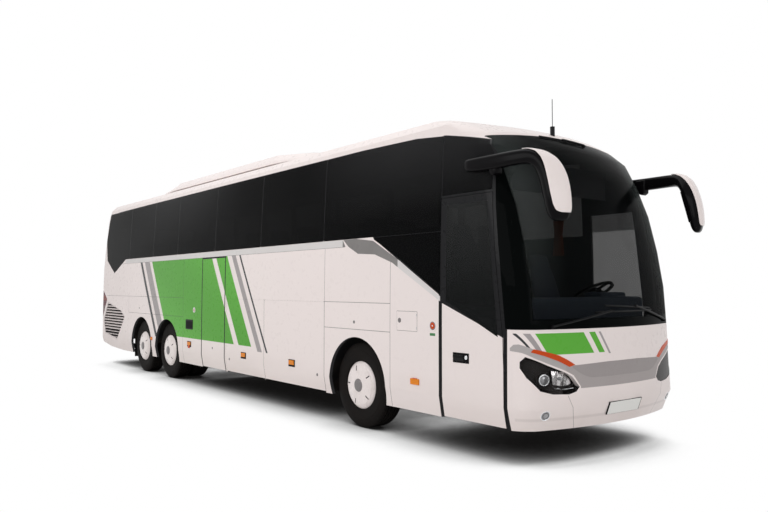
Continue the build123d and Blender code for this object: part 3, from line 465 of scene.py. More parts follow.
def tube(points, radius, sides=8):
    """A bar of constant section along a path."""
    data = bpy.data.curves.new("path", "CURVE")
    data.dimensions = "3D"
    data.bevel_depth = radius
    data.bevel_resolution = sides // 4 - 1
    data.use_fill_caps = True
    spline = data.splines.new("POLY")
    spline.points.add(len(points) - 1)
    for point, place in zip(spline.points, points):
        point.co = (*place, 1.0)
    obj = bpy.data.objects.new("path", data)
    bpy.context.scene.collection.objects.link(obj)
    activate(obj)
    bpy.ops.object.convert(target="MESH")
    return smooth(outwards(merged(bpy.context.object)), 50.0)


def swept(rings):
    """A loft through rings of points, closed at both ends."""
    made = outline(rings[0])
    edit(made)
    for last, ring_points in zip(rings, rings[1:]):
        extrude((0, 0, 0))
        mesh = bmesh.from_edit_mesh(made.data)
        for vertex in [vertex for vertex in mesh.verts if vertex.select]:
            place = min(range(len(last)), key=lambda i: (last[i] - vertex.co).length_squared)
            vertex.co = ring_points[place]
        bmesh.update_edit_mesh(made.data)
    leave()
    return outwards(merged(made))


def squared(angle, power_x, power_y):
    """A point on a rounded square of half width one."""
    return [math.copysign(abs(part) ** power, part)
            for part, power in ((math.cos(angle), power_x), (math.sin(angle), power_y))]


def skin_copy(node, angle=28.0):
    """A merged copy of a CAD node's mesh, with smooth curves and crisp edges."""
    activate(NODES[node])
    bpy.ops.object.duplicate()
    copy = bpy.context.object
    for key in [key for key in copy.keys() if key.startswith("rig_")]:
        del copy[key]
    copy.parent = None
    merged(copy)
    if copy.data.has_custom_normals:
        bpy.ops.mesh.customdata_custom_splitnormals_clear()
    return smooth(copy, angle)


CORE_LOW, CORE_HIGH = at(-9.4, 0.0, 1.2), at(1.9, 0.0, 2.5)    # the sheet that inner faces look at
INWARDS = 0.25               # a face looks inwards if its normal points away from there by less than this


def lined(obj, depth=None):
    """Second material on the faces that look inwards, third on those that lie behind the skin."""
    for face in obj.data.polygons:
        spot = face.center
        core = Vector(min(max(value, low), high) for value, low, high in zip(spot, CORE_LOW, CORE_HIGH))
        if face.normal.dot((spot - core).normalized()) < INWARDS:
            face.material_index = 1
        elif depth is not None and skin_half(spot.z) - abs(spot.y) > depth:
            face.material_index = 2


# ---- sizes and colours ------------------------------------------------------------------------
class CoachPaint(bpy.types.PropertyGroup):
    """Colours of the coach."""
    body: FloatVectorProperty(name="Body", description="Main paint", subtype="COLOR",
                              default=(0.85, 0.765, 0.745))
    band: FloatVectorProperty(name="Band", description="Green bands", subtype="COLOR",
                              default=(0.09, 0.352, 0.036))
    stripe: FloatVectorProperty(name="Stripe", description="Grey stripes", subtype="COLOR",
                                default=(0.36, 0.33, 0.33))
    silver: FloatVectorProperty(name="Silver", description="Silver trim", subtype="COLOR",
                                default=(0.39, 0.35, 0.345))
    cloth: FloatVectorProperty(name="Cloth", description="Seat cloth", subtype="COLOR",
                               default=(0.022, 0.025, 0.036))
    curtain: FloatVectorProperty(name="Curtain", description="Curtain cloth", subtype="COLOR",
                                 default=(0.2, 0.05, 0.02))


class CoachStudio(bpy.types.PropertyGroup):
    """Camera and light."""
    camera_place: FloatVectorProperty(name="Camera", description="Camera from the front axle's ground point",
                                      subtype="TRANSLATION", default=(7.162, -6.389, 1.701))
    yaw: FloatProperty(name="Yaw", description="Camera's heading", subtype="ANGLE",
                       default=math.radians(142.25))
    pitch: FloatProperty(name="Pitch", description="Camera's tilt", subtype="ANGLE",
                         default=math.radians(2.42))
    lens: FloatProperty(name="Lens", description="Focal length", default=34.0, unit="CAMERA")
    key_power: FloatProperty(name="Key", description="Power that each soft box takes its share of",
                             default=900.0, unit="POWER")
    surround: FloatProperty(name="Surround", description="Strength of the surround's light", default=0.45,
                            subtype="FACTOR")


# ---- paint, glass and the other finishes --------------------------------------------------------
SIDE_SEAMS = (
    # upright or level, where it lies, from, to
    ("level", 1.503, -9.68, -5.31), ("level", 1.165, -8.21, -5.31), ("level", 1.51, -0.695, 0.667),
    ("level", 1.185, -0.695, 0.667), ("upright", -8.21, 1.165, 1.503), ("upright", -6.88, 1.165, 1.503),
    ("upright", -5.305, 0.35, 2.19), ("upright", 0.668, 0.35, 2.1), ("upright", -0.697, 0.35, 2.19),
    ("level", 2.193, -9.2, -0.25),
)
SEAM_HALF = 0.0028
LEAN = 0.62                  # the bands lean back by this much for each unit of height
BANDS = (
    # colour, from, to, lowest, highest
    ("green", -5.55, -2.78, 0.8, 2.19), ("green", -2.62, -2.2, 0.8, 2.19),
    ("stripe", -5.95, -5.68, 0.74, 2.19), ("dark", -6.2, -6.09, 0.74, 2.19),
    ("stripe", -2.04, -1.9, 0.74, 2.19), ("dark", -1.78, -1.73, 0.74, 2.19),
)
FRONT_BANDS = (
    # colour, from, to, lowest, highest
    ("green", -0.33, 0.22, 1.06, 1.262), ("green", 0.29, 0.37, 1.06, 1.262),
    ("stripe", -0.42, -0.37, 1.045, 1.262), ("dark", -0.475, -0.455, 1.045, 1.262),
    ("stripe", 0.42, 0.45, 1.045, 1.262),
)
DOOR_SEALS = (
    # from, to, lowest, highest
    (1.49, 1.542, 0.3, 3.2), (2.398, 2.47, 0.3, 1.28), (-4.514, -4.486, 0.3, 2.19),
    (-3.629, -3.601, 0.3, 2.19), (-4.514, -3.601, 2.166, 2.192),
)
BUMPER_SEAM = (0.488, 0.45, 0.675)   # how far out it starts, its lean, its top
# the height band of the painted shade under the bumper's crease
CHIN_SHADE = (0.44, 0.468)
DOOR_LINE = (1.541, 1.51, 0.366)     # black above: height, place and fall of the line over the front doors
BAR_CREASE = (0.825, 0.44, 1.36)     # height, how far out it starts to rise, its rise
BAND_LOW, BAND_TOP = 2.296, 3.356    # the black band round the side windows
BAND_ENDS = (-9.15, 0.33, 1.52)      # rear end, where its lower edge starts to fall, front end
BAND_FALL = 0.562
SCREEN_RIM = 3.317           # the roof's white starts at this height in the middle of the screen
WHITE = 1.0                  # in the table, a colour may be a share of the body's paint
LOOKS = (
    # name, colour, roughness, metal, coat, specular level;
    # mottle: noise, step over it, share, two colours; sheen: noise, swing, least;
    # grain: pattern, strength, depth
    ("lining", (0.05, 0.05, 0.053), 0.8, 0, 0, 0.2,
     ((6,), None, 0.5, (0.04, 0.04, 0.043), (0.07, 0.07, 0.073)), None, (("cells", 420), 0.3, 0.0005)),
    ("bonding", (0.005, 0.005, 0.006), 0.35, 0, 0, 0.15,
     None, ((40,), 0.2, 0.25), (("noise", 300), 0.1, 0.0005)),
    ("louvre_white", WHITE, 0.45, 0, 0, 0.1,
     ((8,), None, 1.0, WHITE, 0.88), None, (("noise", 200), 0.1, 0.0004)),
    ("louvre_shade", (0.2, 0.185, 0.185), 0.6, 0, 0, 0.15,
     ((10,), None, 1.0, (0.13, 0.12, 0.12), (0.1, 0.09, 0.09)), None, None),
    ("mirror_glass", (0.75, 0.78, 0.8), 0.02, 1.0, 0, 0.5, None, ((20,), 0.03, 0.01), None),
    ("chrome", (0.72, 0.73, 0.74), 0.08, 1.0, 0, 0.5, None, ((30,), 0.08, 0.04), None),
    ("chassis_black", (0.02, 0.02, 0.022), 0.5, 0, 0, 0.15,
     ((5, 6), (0.55, 0.3), 1.0, (0.006, 0.006, 0.007), (0.02, 0.016, 0.013)),
     ((5, 6), 0.4, 0.4), (("noise", 160, 4), 0.3, 0.001)),
    ("engine_casting", (0.1, 0.1, 0.105), 0.6, 0.6, 0, 0.15,
     ((9, 5), None, 1.0, (0.07, 0.07, 0.075), (0.16, 0.15, 0.14)), None, (("noise", 220, 4), 0.4, 0.001)),
    ("black_moulding", (0.006, 0.006, 0.0065), 0.42, 0, 0, 0.08,
     None, ((12,), 0.15, 0.33), (("cells", 700), 0.15, 0.0003)),
    ("gloss_black", (0.004, 0.0036, 0.0042), 0.12, 0, 0, 0.05, None, ((18,), 0.08, 0.1), None),
    ("rubber_seal", (0.005, 0.005, 0.0055), 0.6, 0, 0, 0.06, None, None, (("noise", 400), 0.2, 0.0005)),
    ("dash_top", (0.022, 0.03, 0.04), 0.65, 0, 0, 0.15,
     ((5,), None, 0.5, (0.03, 0.04, 0.055), (0.05, 0.06, 0.075)), None, (("cells", 600), 0.35, 0.0006)),
    ("label_green", (0.02, 0.16, 0.04), 0.4, 0, 0, 0.5,
     ((90,), None, 0.4, (0.02, 0.16, 0.04), (0.05, 0.22, 0.07)), None, None),
    ("plate_face", (0.8, 0.79, 0.76), 0.35, 0, 0, 0.5,
     ((60,), None, 0.4, (0.8, 0.79, 0.76), (0.72, 0.7, 0.67)), None, (("cells", 900), 0.1, 0.0003)),
    ("tyre_rubber", (0.014, 0.0135, 0.0135), 0.7, 0, 0, 0.08,
     ((7, 5), (0.5, 0.5), 0.6, (0.003, 0.0024, 0.0022), (0.012, 0.009, 0.0075)),
     ((7, 5), 0.25, 0.55), (("noise", 240), 0.35, 0.001)),
    ("wheel_white", WHITE, 0.28, 0, 0.4, 0.5,
     ((11, 5), (0.62, 0.3), 0.4, WHITE, (0.5, 0.44, 0.4)), ((11, 5), 0.15, 0.2), None),
    ("cap_grey", (0.18, 0.165, 0.165), 0.35, 0.5, 0, 0.5,
     ((50,), None, 1.0, (0.15, 0.14, 0.14), (0.23, 0.21, 0.21)), None, None),
    ("lamp_black", (0.018, 0.016, 0.016), 0.25, 0, 0, 0.1,
     ((40,), None, 1.0, (0.014, 0.012, 0.012), (0.035, 0.03, 0.028)), None, (("cells", 320), 0.15, 0.0006)),
    ("reflector", (0.62, 0.6, 0.6), 0.12, 0.9, 0, 0.5,
     None, ((60,), 0.12, 0.08), (("cells", 45), 0.8, 0.004)),
    ("projector_glass", (0.22, 0.22, 0.23), 0.04, 0.6, 1.0, 0.5,
     ((30,), None, 1.0, (0.16, 0.16, 0.17), (0.34, 0.34, 0.35)), None, None),
)


def shaded(colour, share):
    return tuple(share * part for part in colour)


def make_looks(paint):
    """The finishes of the table."""
    def tint(colour):
        return shaded(paint.body, colour) if isinstance(colour, float) else colour

    for name, base, rough, metal, coat, specular, mottle, sheen, grain in LOOKS:
        made = Finish(name, tint(base), rough, metal, coat, specular)
        if mottle:
            pattern, step, share, first, second = mottle
            field = made.noise(*pattern)
            made.colour((field.above(*step) if step else field) * share, tint(first), tint(second))
        if sheen:
            pattern, swing, least = sheen
            made.set(Roughness=made.noise(*pattern) * swing + least)
        if grain:
            (kind, *scale), strength, depth = grain
            made.bump(getattr(made, kind)(*scale), strength, depth)


def widest(masks):
    """One wherever any of some masks is one."""
    whole = None
    for mask in masks:
        whole = mask if whole is None else whole.max(mask)
    return whole


def door_seals(made, along):
    """One on the rubber round the doors."""
    return widest(along.between(start, end, 0.002) * made.z.between(low, high, 0.002)
                  for start, end, low, high in DOOR_SEALS)


def side_seams(made, along):
    """One on the joints between the side's panels."""
    lines = []
    for kind, place, start, end in SIDE_SEAMS:
        across, run = (made.z, along) if kind == "level" else (along, made.z)
        lines.append(across.between(place - SEAM_HALF, place + SEAM_HALF) * run.between(start, end, 0.002))
    return widest(lines) * abs(made.y).above(1.2, 0.01)


def window_band(made, along):
    """One on the side frames around and between the panes."""
    rear, bend, ahead = BAND_ENDS
    flat = made.z.between(BAND_LOW, BAND_TOP, 0.002) * along.between(rear, bend, 0.004)
    slope = (made.z + (along - bend) * BAND_FALL).between(2.272, 9.0, 0.002)
    return flat.max(slope * along.between(bend, ahead, 0.004) * made.z.below(3.3, 0.01))


def door_black(made, along):
    """One above the slanting line over the front doors."""
    high, start, fall = DOOR_LINE
    line = high - (along - start) * fall
    return (made.z - line).above(0.0, 0.002) * along.above(1.507, 0.002) * abs(made.y).above(1.0, 0.01)


def banded(made, colour, rows, along, where, paint):
    """Leaning bands laid over a colour, with a painted sheen swept in a wave over the green."""
    lean = along + made.z * LEAN
    # painted sheen: the green swings in a wave between its own tone and a lighter copy of it
    glow = tuple(min(1.0, 1.35 * part + 0.01) for part in paint.band)
    sheen_wave = (along * 1.1 + made.z * 2.4).sine()
    tones = {"green": made.mix(sheen_wave * 0.28 + 0.22, tuple(paint.band), glow), "stripe": tuple(paint.stripe),
             "dark": (0.045, 0.045, 0.05)}
    for tone, start, end, low, high in rows:
        mask = lean.between(start, end, 0.0025) * made.z.between(low, high, 0.0025) * where
        colour = made.mix(mask, colour, tones[tone])
    return colour


def body_paint(name, paint, side=False, seams=False, front=False, roof=False):
    """Gloss paint over panels, with the bands, seams and black parts that a panel has."""
    base = tuple(paint.body)
    made = Finish(name, base, 0.3, coat=0.1, specular=0.08)
    along = made.x - AXLE_X
    colour = made.mix(made.noise(0.9).above(0.5, 0.6) * 0.5, base, shaded(base, 0.965))
    # browner, rougher patches towards the bottom of the panels
    low_patches = made.z.below(0.55, 0.45) * made.noise(2.0, 3.0, stretch=(0.35, 1.0, 1.3)).above(0.5, 0.6)
    colour = made.mix(low_patches * 0.3, colour, (0.45, 0.36, 0.3))
    height = made.noise(1.4, 1.0) * 3.0
    black = None
    if side:
        colour = banded(made, colour, BANDS, along, abs(made.y).above(1.2, 0.01), paint)
        black = (door_seals(made, along) * made.y.below(-1.2, 0.01)).max(door_black(made, along))
    if front:
        outer = along.above(2.5, 0.01)
        colour = banded(made, colour, FRONT_BANDS, made.y, outer, paint)
        out, lean, top = BUMPER_SEAM
        joint = abs(abs(made.y) - made.z * lean - out).below(SEAM_HALF) * made.z.below(top, 0.002) * outer
        colour = made.mix(joint * 0.6, colour, (0.06, 0.05, 0.05))
        # painted shade: a soft darker band just under the bumper's crease
        colour = made.mix(made.z.between(*CHIN_SHADE, 0.015) * outer * 0.16, colour, (0.25, 0.2, 0.18))
        black = along.below(2.446, 0.002)
    if seams:
        cut = side_seams(made, along)
        colour = made.mix(cut * 0.85, colour, (0.03, 0.028, 0.028))
        height = height - cut * 2.0
        black = black.max(window_band(made, along))
    if roof:
        black = along.above(1.8, 0.01)
    if black is not None:
        colour = made.mix(black, colour, (0.006, 0.006, 0.007))
        shine = 0.05 if side else 0.1
        made.set(**{"Coat Weight": shine - black * (shine - 0.05)})
    made.set(**{"Base Color": colour, "Roughness": made.noise(14.0) * 0.06 + low_patches * 0.12 + 0.25})
    made.bump(height, 0.25, 0.001)


def make_paints(paint):
    body_paint("white", paint)
    body_paint("side", paint, side=True, seams=True)
    body_paint("flap", paint, side=True)
    body_paint("roof_white", paint, roof=True)
    body_paint("front", paint, front=True)


def make_glass(paint):
    """Tinted panes: dense at the sides, clearer at the driver's place and in the screen."""
    side = Finish("side_glass", (0.007, 0.0075, 0.008), 0.03, IOR=1.08)
    along = side.x - AXLE_X
    cab = along.above(1.5, 0.01)
    dust = side.noise(5.0, 4.0, stretch=(1.0, 1.0, 0.4))
    side.set(Alpha=0.8 - cab * 0.06 - cab * side.z.below(2.38, 0.01) * 0.2 + dust * 0.04,
             Roughness=dust * 0.05 + 0.02)
    # painted reflection: the upper part is paler, and the wave keeps it uneven along the panes
    sky_reflection = side.z.above(2.95, 0.9) * (along * 0.9 + 0.4).sine().above(0.1, 1.6)
    side.colour(sky_reflection, (0.003, 0.0031, 0.0033), (0.03, 0.03, 0.031))
    door = Finish("door_glass", (0.01, 0.012, 0.012), 0.03, IOR=1.08)
    door.set(Alpha=0.64 + door.noise(6.0) * 0.04)
    # painted reflection: the door glass is paler towards the top
    door.colour(door.z.above(2.05, 0.9), (0.012, 0.013, 0.013), (0.032, 0.033, 0.033))
    screen = Finish("screen_glass", (0.004, 0.005, 0.005), 0.025, IOR=1.06)
    across = screen.y - 0.1
    rim = (screen.z + across * across * 0.057).above(SCREEN_RIM, 0.004)
    frit = widest((abs(screen.y).above(1.12, 0.02), screen.z.below(1.39, 0.02),
                   screen.z.above(2.93, 0.3) * 0.5, rim))
    sheen = abs(screen.y).above(0.86, 0.34) * screen.z.above(2.1, 1.3) * (1.0 - frit)
    screen.colour(rim, screen.mix(sheen, (0.002, 0.0026, 0.0026), (0.066, 0.076, 0.073)), tuple(paint.body))
    screen.set(Alpha=(frit * 0.66 + 0.34).min(1.0))
    screen.set(Roughness=screen.noise(4.0, 4.0) * 0.03 + rim * 0.25 + 0.015)


def make_silver(paint):
    """The belt trim and the front bar: paler at the sides, darker on the wide patch, with painted shade in
    the bar's fold.
    """
    silver = Finish("silver_trim", tuple(paint.silver), 0.35, specular=0.04)
    base, start, rise = BAR_CREASE
    along = silver.x - AXLE_X
    ahead = along.above(2.3, 0.01)
    beyond = (abs(silver.y) - start).max(0.0)
    fold = (silver.z - (beyond * beyond * rise + base)).above(0.0, 0.006) * abs(silver.y).below(0.72, 0.004)
    patch = along.between(-0.3, 0.8, 0.006) * (silver.z + along * 0.42).below(2.46, 0.003)
    tone = silver.mix(ahead, (0.7, 0.67, 0.66), tuple(paint.silver))
    tone = silver.mix(patch, tone, (0.2, 0.19, 0.185))
    tone = silver.mix(ahead * abs(silver.y).above(0.8, 0.01), tone, (0.42, 0.39, 0.385))
    # painted shade darkens the bar's fold
    tone = silver.mix(ahead * fold * 0.35, tone, (0.22, 0.2, 0.2))
    silver.colour(silver.noise(3.0) * 0.2, tone, (0.5, 0.48, 0.47))
    silver.set(Roughness=silver.noise(9.0) * 0.1 + 0.24)
    silver.bump(fold * ahead * -6.0, 0.4, 0.001)


def make_lenses(paint):
    orange = Finish("orange_lens", (0.62, 0.085, 0.012), 0.15, specular=0.12)
    ribs = (orange.y * 160.0).fraction().above(0.5, 0.4)
    orange.colour(ribs * 0.35, (0.6, 0.07, 0.01), (0.4, 0.04, 0.006))
    orange.bump(ribs, 0.3, 0.001)
    amber = Finish("amber_lens", (0.8, 0.25, 0.02), 0.2, specular=0.12)
    amber.colour((amber.z * 60.0).fraction().above(0.8, 0.1) * 0.5, (0.8, 0.25, 0.02), (0.45, 0.1, 0.01))
    amber.set(Roughness=amber.noise(50.0) * 0.1 + 0.15)
    red = Finish("red_lens", (0.2, 0.006, 0.006), 0.12, specular=0.08)
    tone = red.mix(red.z.between(1.17, 1.27, 0.003), (0.1, 0.003, 0.012), (0.16, 0.1, 0.1))
    tone = red.mix(red.z.between(1.39, 1.49, 0.003), tone, (0.2, 0.02, 0.008))
    red.colour((red.z * 9.0).fraction().below(0.06, 0.02), tone, (0.02, 0.004, 0.004))
    red.bump(red.cells(130.0), 0.5, 0.001)
    lens = Finish("lamp_lens", (0.1, 0.1, 0.105), 0.03, Alpha=0.05, IOR=1.12)
    lens.set(Roughness=lens.noise(25.0) * 0.03 + 0.01)


def make_cloths(paint):
    cloth = Finish("seat_cloth", tuple(paint.cloth), 0.92, specular=0.15)
    weave = (cloth.x * 900.0).fraction().above(0.5, 0.4) - (cloth.z * 900.0).fraction().above(0.5, 0.4)
    tone = cloth.mix(cloth.noise(14.0), tuple(paint.cloth), shaded(paint.cloth, 1.8))
    cloth.colour(cloth.cells(60.0).below(0.18, 0.05) * 0.7, tone, (0.12, 0.05, 0.02))
    cloth.bump(abs(weave), 0.4, 0.0006)
    curtain = Finish("curtain_cloth", tuple(paint.curtain), 0.9)
    curtain.colour(curtain.noise(25.0), tuple(paint.curtain), shaded(paint.curtain, 0.55))
    curtain.bump((curtain.y * 700.0).fraction().above(0.5, 0.4), 0.3, 0.0005)
    floor = Finish("floor_cover", (0.06, 0.06, 0.065), 0.7, specular=0.15)
    floor.colour(floor.cells(260.0).below(0.2, 0.05) * 0.6, (0.055, 0.055, 0.06), (0.16, 0.16, 0.17))
    floor.bump(floor.cells(320.0), 0.2, 0.0006)


# ---- the stage --------------------------------------------------------------------------------
SOFT_BOXES = (
    # name, place, width and height, share of the key's power, what it is turned to
    ("overhead", (-3.0, -1.0, 10.0), (18.0, 8.0), 0.54, (-3.5, 0.0, 1.0)),
    ("side_fill", (-1.0, -13.0, 5.5), (16.0, 5.0), 0.65, (-3.0, 0.0, 1.5)),
    ("front_fill", (13.0, -1.5, 4.5), (7.0, 5.0), 0.3, (2.0, 0.0, 1.5)),
)
FLOOR_SIZE = 160.0
FLOOR_DROP = 0.001
SHADE_REACH = 1.3            # how far from the coach the floor is shaded
SHADE_FULL = (0.115, 0.7)   # open share of the sky that shows black, and that shows white
SHADE_CURVE = 1.75
SHADE_BLACK = (0.006, 0.0057, 0.0055)


def pale_floor():
    """A pale floor that shows white wherever nothing shades it."""
    pale = Finish("floor_pale", (0.84, 0.84, 0.84), 0.9)
    shade = pale.where.node("ShaderNodeAmbientOcclusion", {"samples": 24}, {"Distance": SHADE_REACH}, 1)
    black, white = SHADE_FULL
    lit = shade.ramp(1.0 / (white - black), -black / (white - black)).power(SHADE_CURVE)
    glow = pale.where.node("ShaderNodeEmission", {}, {"Color": pale.mix(lit, SHADE_BLACK, (1.0, 1.0, 1.0))})
    plain = Field(pale.tree, pale.shader.outputs[0])
    mixed = plain.node("ShaderNodeMixShader", {}, {0: seen_straight(pale.tree), 1: plain, 2: glow})
    plug(pale.tree.nodes["Material Output"].inputs["Surface"], mixed)


def put(name, data, spot, look):
    """A camera or a lamp at a spot, turned to look one way."""
    made = bpy.data.objects.new(name, data)
    bpy.context.scene.collection.objects.link(made)
    made.location = spot
    made.rotation_euler = look.to_track_quat("-Z", "Y").to_euler()
    return made


class COACH_OT_stage(bpy.types.Operator):
    """Floor, camera, soft boxes and a white surround"""
    bl_idname = "coach.stage"
    bl_label = "Stage"

    def execute(self, context):
        scene = context.scene
        studio = scene.coach_studio
        scene.view_settings.view_transform = "Standard"
        bpy.ops.mesh.primitive_plane_add(size=FLOOR_SIZE, location=(0, 0, -FLOOR_DROP))
        floor = settle(bpy.context.object)
        floor.name = "floor"
        pale_floor()
        wear(floor, "floor_pale")
        lens = bpy.data.cameras.new("camera")
        lens.sensor_width = 36.0
        lens.lens = studio.lens
        level = math.cos(studio.pitch)
        look = Vector((math.cos(studio.yaw) * level, math.sin(studio.yaw) * level, math.sin(studio.pitch)))
        scene.camera = put("camera", lens, at(*studio.camera_place), look)
        for name, spot, size, share, aim in SOFT_BOXES:
            light = bpy.data.lights.new(name, "AREA")
            light.shape = "RECTANGLE"
            light.size, light.size_y = size
            light.energy = studio.key_power * share
            put(name, light, at(*spot), at(*aim) - at(*spot))
        scene.world = bpy.data.worlds.new("surround")
        scene.world.use_nodes = True
        tree = scene.world.node_tree
        back = tree.nodes["Background"]
        back.inputs["Color"].default_value = (1.0, 1.0, 1.0, 1.0)
        plug(back.inputs["Strength"], seen_straight(tree) * (1.0 - studio.surround) + studio.surround)
        return {"FINISHED"}


# ---- body, glass and underbody ----------------------------------------------------------------
PANELS = (
    # finish outside, of the faces that look inwards, and behind the skin; the nodes
    ("side lining bonding", "body_side_right body_side_left"), ("flap lining bonding", "front_door_leaf"),
    ("flap lining", "mid_door_leaf luggage_flap_right_1 luggage_flap_right_2 "
                    "luggage_flap_left_1 luggage_flap_left_2 luggage_flap_left_3"),
    ("white lining", "roof front_dome"), ("front lining", "front_fascia"), ("white lining", "rear_panel"),
    ("white chassis_black", "engine_lid"), ("louvre_white louvre_shade", "side_grilles"),
    ("gloss_black lining", "windscreen_frame"), ("side_glass", "side_glass rear_window"),
    ("screen_glass", "windscreen"), ("door_glass", "front_door_glass"), ("silver_trim", "silver_trim"),
    ("chassis_black", "chassis_frame wheel_housings front_axle rear_axles "
                      "knuckle_right knuckle_left track_rod"),
    ("engine_casting", "engine"), ("floor_cover", "saloon_floor cab_floor mid_stairs"),
    ("red_lens", "tail_lamps"),
    ("chassis_black", "front_door_arm mid_door_arm"), ("roof_white", "roof_fittings"),
)
BEHIND = 0.004
TRIM_PROUD = 0.0015
PAN_Z = 0.4
PAN_THICK = 0.004
PAN_RUNS = (
    # from, to, half width
    (2.15, 2.58, 0.78), (0.66, 2.149, 1.2), (DRIVE_X + 0.66, -0.66, 1.2), (-9.6, TAG_X - 0.66, 1.1),
)


class COACH_OT_body(bpy.types.Operator):
    """Smooth copies of the body's panels, with their linings, and of the glass and underbody"""
    bl_idname = "coach.body"
    bl_label = "Body"

    def execute(self, context):
        for looks, nodes in [(looks.split(), nodes.split()) for looks, nodes in PANELS]:
            for node in nodes:
                copy = skin_copy(node)
                if node == "silver_trim":
                    apply_modifier(copy, "DISPLACE", strength=TRIM_PROUD, mid_level=0.0)
                apply_modifier(copy, "WEIGHTED_NORMAL", keep_sharp=True)
                finish(copy, node + "_skin", *looks, node=node)
                if len(looks) > 1:
                    lined(copy, BEHIND if len(looks) > 2 else None)
        sheets = [box(at(x0, -half, PAN_Z), at(x1, half, PAN_Z + PAN_THICK)) for x0, x1, half in PAN_RUNS]
        finish(join(*sheets), "underbody_pan", "chassis_black", slot="black_plastic")
        return {"FINISHED"}


# ---- tyres and wheels -------------------------------------------------------------------------
TYRE_HALF = (
    # offset from the tyre's middle, radius: bead, sidewall, shoulder, tread with its grooves
    (0.128, 0.2865), (0.134, 0.303), (0.1385, 0.306), (0.1395, 0.312), (0.144, 0.345), (0.1465, 0.385),
    (0.1468, 0.41), (0.145, 0.412), (0.1445, 0.417), (0.144, 0.43), (0.1385, 0.458), (0.131, 0.48),
    (0.1225, 0.498), (0.113, 0.5075), (0.101, 0.5105), (0.078, 0.5115), (0.0765, 0.501), (0.0685, 0.501),
    (0.067, 0.5118), (0.037, 0.512), (0.0355, 0.501), (0.0275, 0.501), (0.026, 0.512),
)
RIM = (
    (0.1432, 0.0455), (-0.095, 0.0455), (-0.095, 0.185), (-0.085, 0.197), (-0.012, 0.198), (0.0, 0.105),
    (0.084, 0.105),
)
SINGLE_DISH = ((0.088, 0.255), (-0.118, 0.268), (-0.12, 0.271), (-0.12, 0.2845))
TWIN_DISH = ((0.088, 0.233), (-0.213, 0.235), (-0.452, 0.27), (-0.453, 0.2845), (-0.213, 0.2845),
             (-0.207, 0.256), (-0.126, 0.256), (-0.12, 0.2845))
COVER = (
    (0.118, 0.2845), (0.129, 0.2845), (0.134, 0.281), (0.15, 0.262), (0.1555, 0.25), (0.154, 0.2455),
    (0.1605, 0.24), (0.17, 0.205), (0.1765, 0.16), (0.1795, 0.11), (0.1798, 0.0835), (0.1782, 0.0815),
    (0.1782, 0.0785), (0.183, 0.0765), (0.188, 0.064), (0.1905, 0.03), (0.1912, 0.004),
)
CAP_RADIUS = 0.078
CAP_OUT, DISH_OUT = 0.177, 0.115     # the cap lies beyond the first offset, the dish within the second
HUB = (0.06, 0.17)                   # radius, how far out it ends
SLOT_COUNT = 5
SLOT_START = math.radians(-15.0)
SLOT_SIZE = Vector((0.014, 0.03, 0.06))
SLOT_PLACE = Vector((0.0, -0.168, 0.207))
TREAD_CUTS = 60
SHOULDER = (0.4985, 0.1, 0.121)    # the cuts' least radius, and how far out they start and end
CUT_INSET = 0.0035
CUT_DEPTH = 0.008


def tyre(centre):
    """A tyre with bead, sidewall rings, grooves and cuts across its shoulders."""
    stations = [(-offset, radius) for offset, radius in TYRE_HALF]
    stations += [(offset, radius) for offset, radius in reversed(TYRE_HALF)]
    stations.append(stations[0])
    made = turned(centre, stations, 120, closed=True)
    edit(made, "DESELECT", "FACE")
    mesh = bmesh.from_edit_mesh(made.data)
    least, inner, outer = SHOULDER
    for face in mesh.faces:
        spot = face.calc_center_median() - centre
        step = int((math.atan2(spot.z, spot.x) + math.pi) / (2 * math.pi) * TREAD_CUTS * 2)
        face.select = math.hypot(spot.x, spot.z) > least and inner < abs(spot.y) < outer and step % 2 == 0
    bmesh.update_edit_mesh(made.data)
    bpy.ops.mesh.inset(thickness=CUT_INSET, use_individual=True)
    mesh = bmesh.from_edit_mesh(made.data)
    for vertex in {vertex for face in mesh.faces if face.select for vertex in face.verts}:
        out = Vector((vertex.co.x - centre.x, 0, vertex.co.z - centre.z)).normalized()
        vertex.co -= out * CUT_DEPTH
    bmesh.update_edit_mesh(made.data)
    leave()
    return smooth(made, 32.0)


def wheel(centre, dish):
    """Rim, hub and a domed cover with slots round it and a cap in the middle."""
    made = wear(turned(centre, RIM + dish + COVER, 96), "wheel_white", "cap_grey", "chassis_black")
    for face in made.data.polygons:
        spot = face.center - centre
        radius = math.hypot(spot.x, spot.z)
        if -spot.y > CAP_OUT and radius < CAP_RADIUS:
            face.material_index = 1
        elif -spot.y < DISH_OUT or radius < HUB[0] and -spot.y < HUB[1]:
            face.material_index = 2
    cutters = []
    for i in range(SLOT_COUNT):
        cutter = box(SLOT_PLACE - SLOT_SIZE / 2, SLOT_PLACE + SLOT_SIZE / 2, 0.002)
        cutter.location = centre
        cutter.rotation_euler = (0, SLOT_START + i * 2 * math.pi / SLOT_COUNT, 0)
        cutters.append(settle(cutter))
    tool = wear(join(*cutters), "bonding")
    apply_modifier(made, "BOOLEAN", object=tool, operation="DIFFERENCE", solver="EXACT",
                   material_mode="TRANSFER")
    drop(tool)
    return smooth(made, 26.0)


def both_sides(made, part, suffix, *looks):
    """Finish the right-hand pieces and their mirror images, each in place of its node."""
    for name, right in made.items():
        left = other_side(right)
        for side, piece in (("right", right), ("left", left)):
            node = name + part + side
            finish(piece, node + suffix, *looks, node=node)


class COACH_OT_tyres(bpy.types.Operator):
    """Tyres with sidewalls and treads"""
    bl_idname = "coach.tyres"
    bl_label = "Tyres"

    def execute(self, context):
        first = tyre(at(0, -TYRE_Y, WHEEL_Z))
        made = {"front": copy_of(first), "tag": copy_of(first, (TAG_X, 0, 0)),
                "drive": join(copy_of(first, (DRIVE_X, 0, 0)), copy_of(first, (DRIVE_X, TWIN_SPACING, 0)))}
        drop(first)
        both_sides(made, "_tyre_", "_rubber", "tyre_rubber")
        return {"FINISHED"}


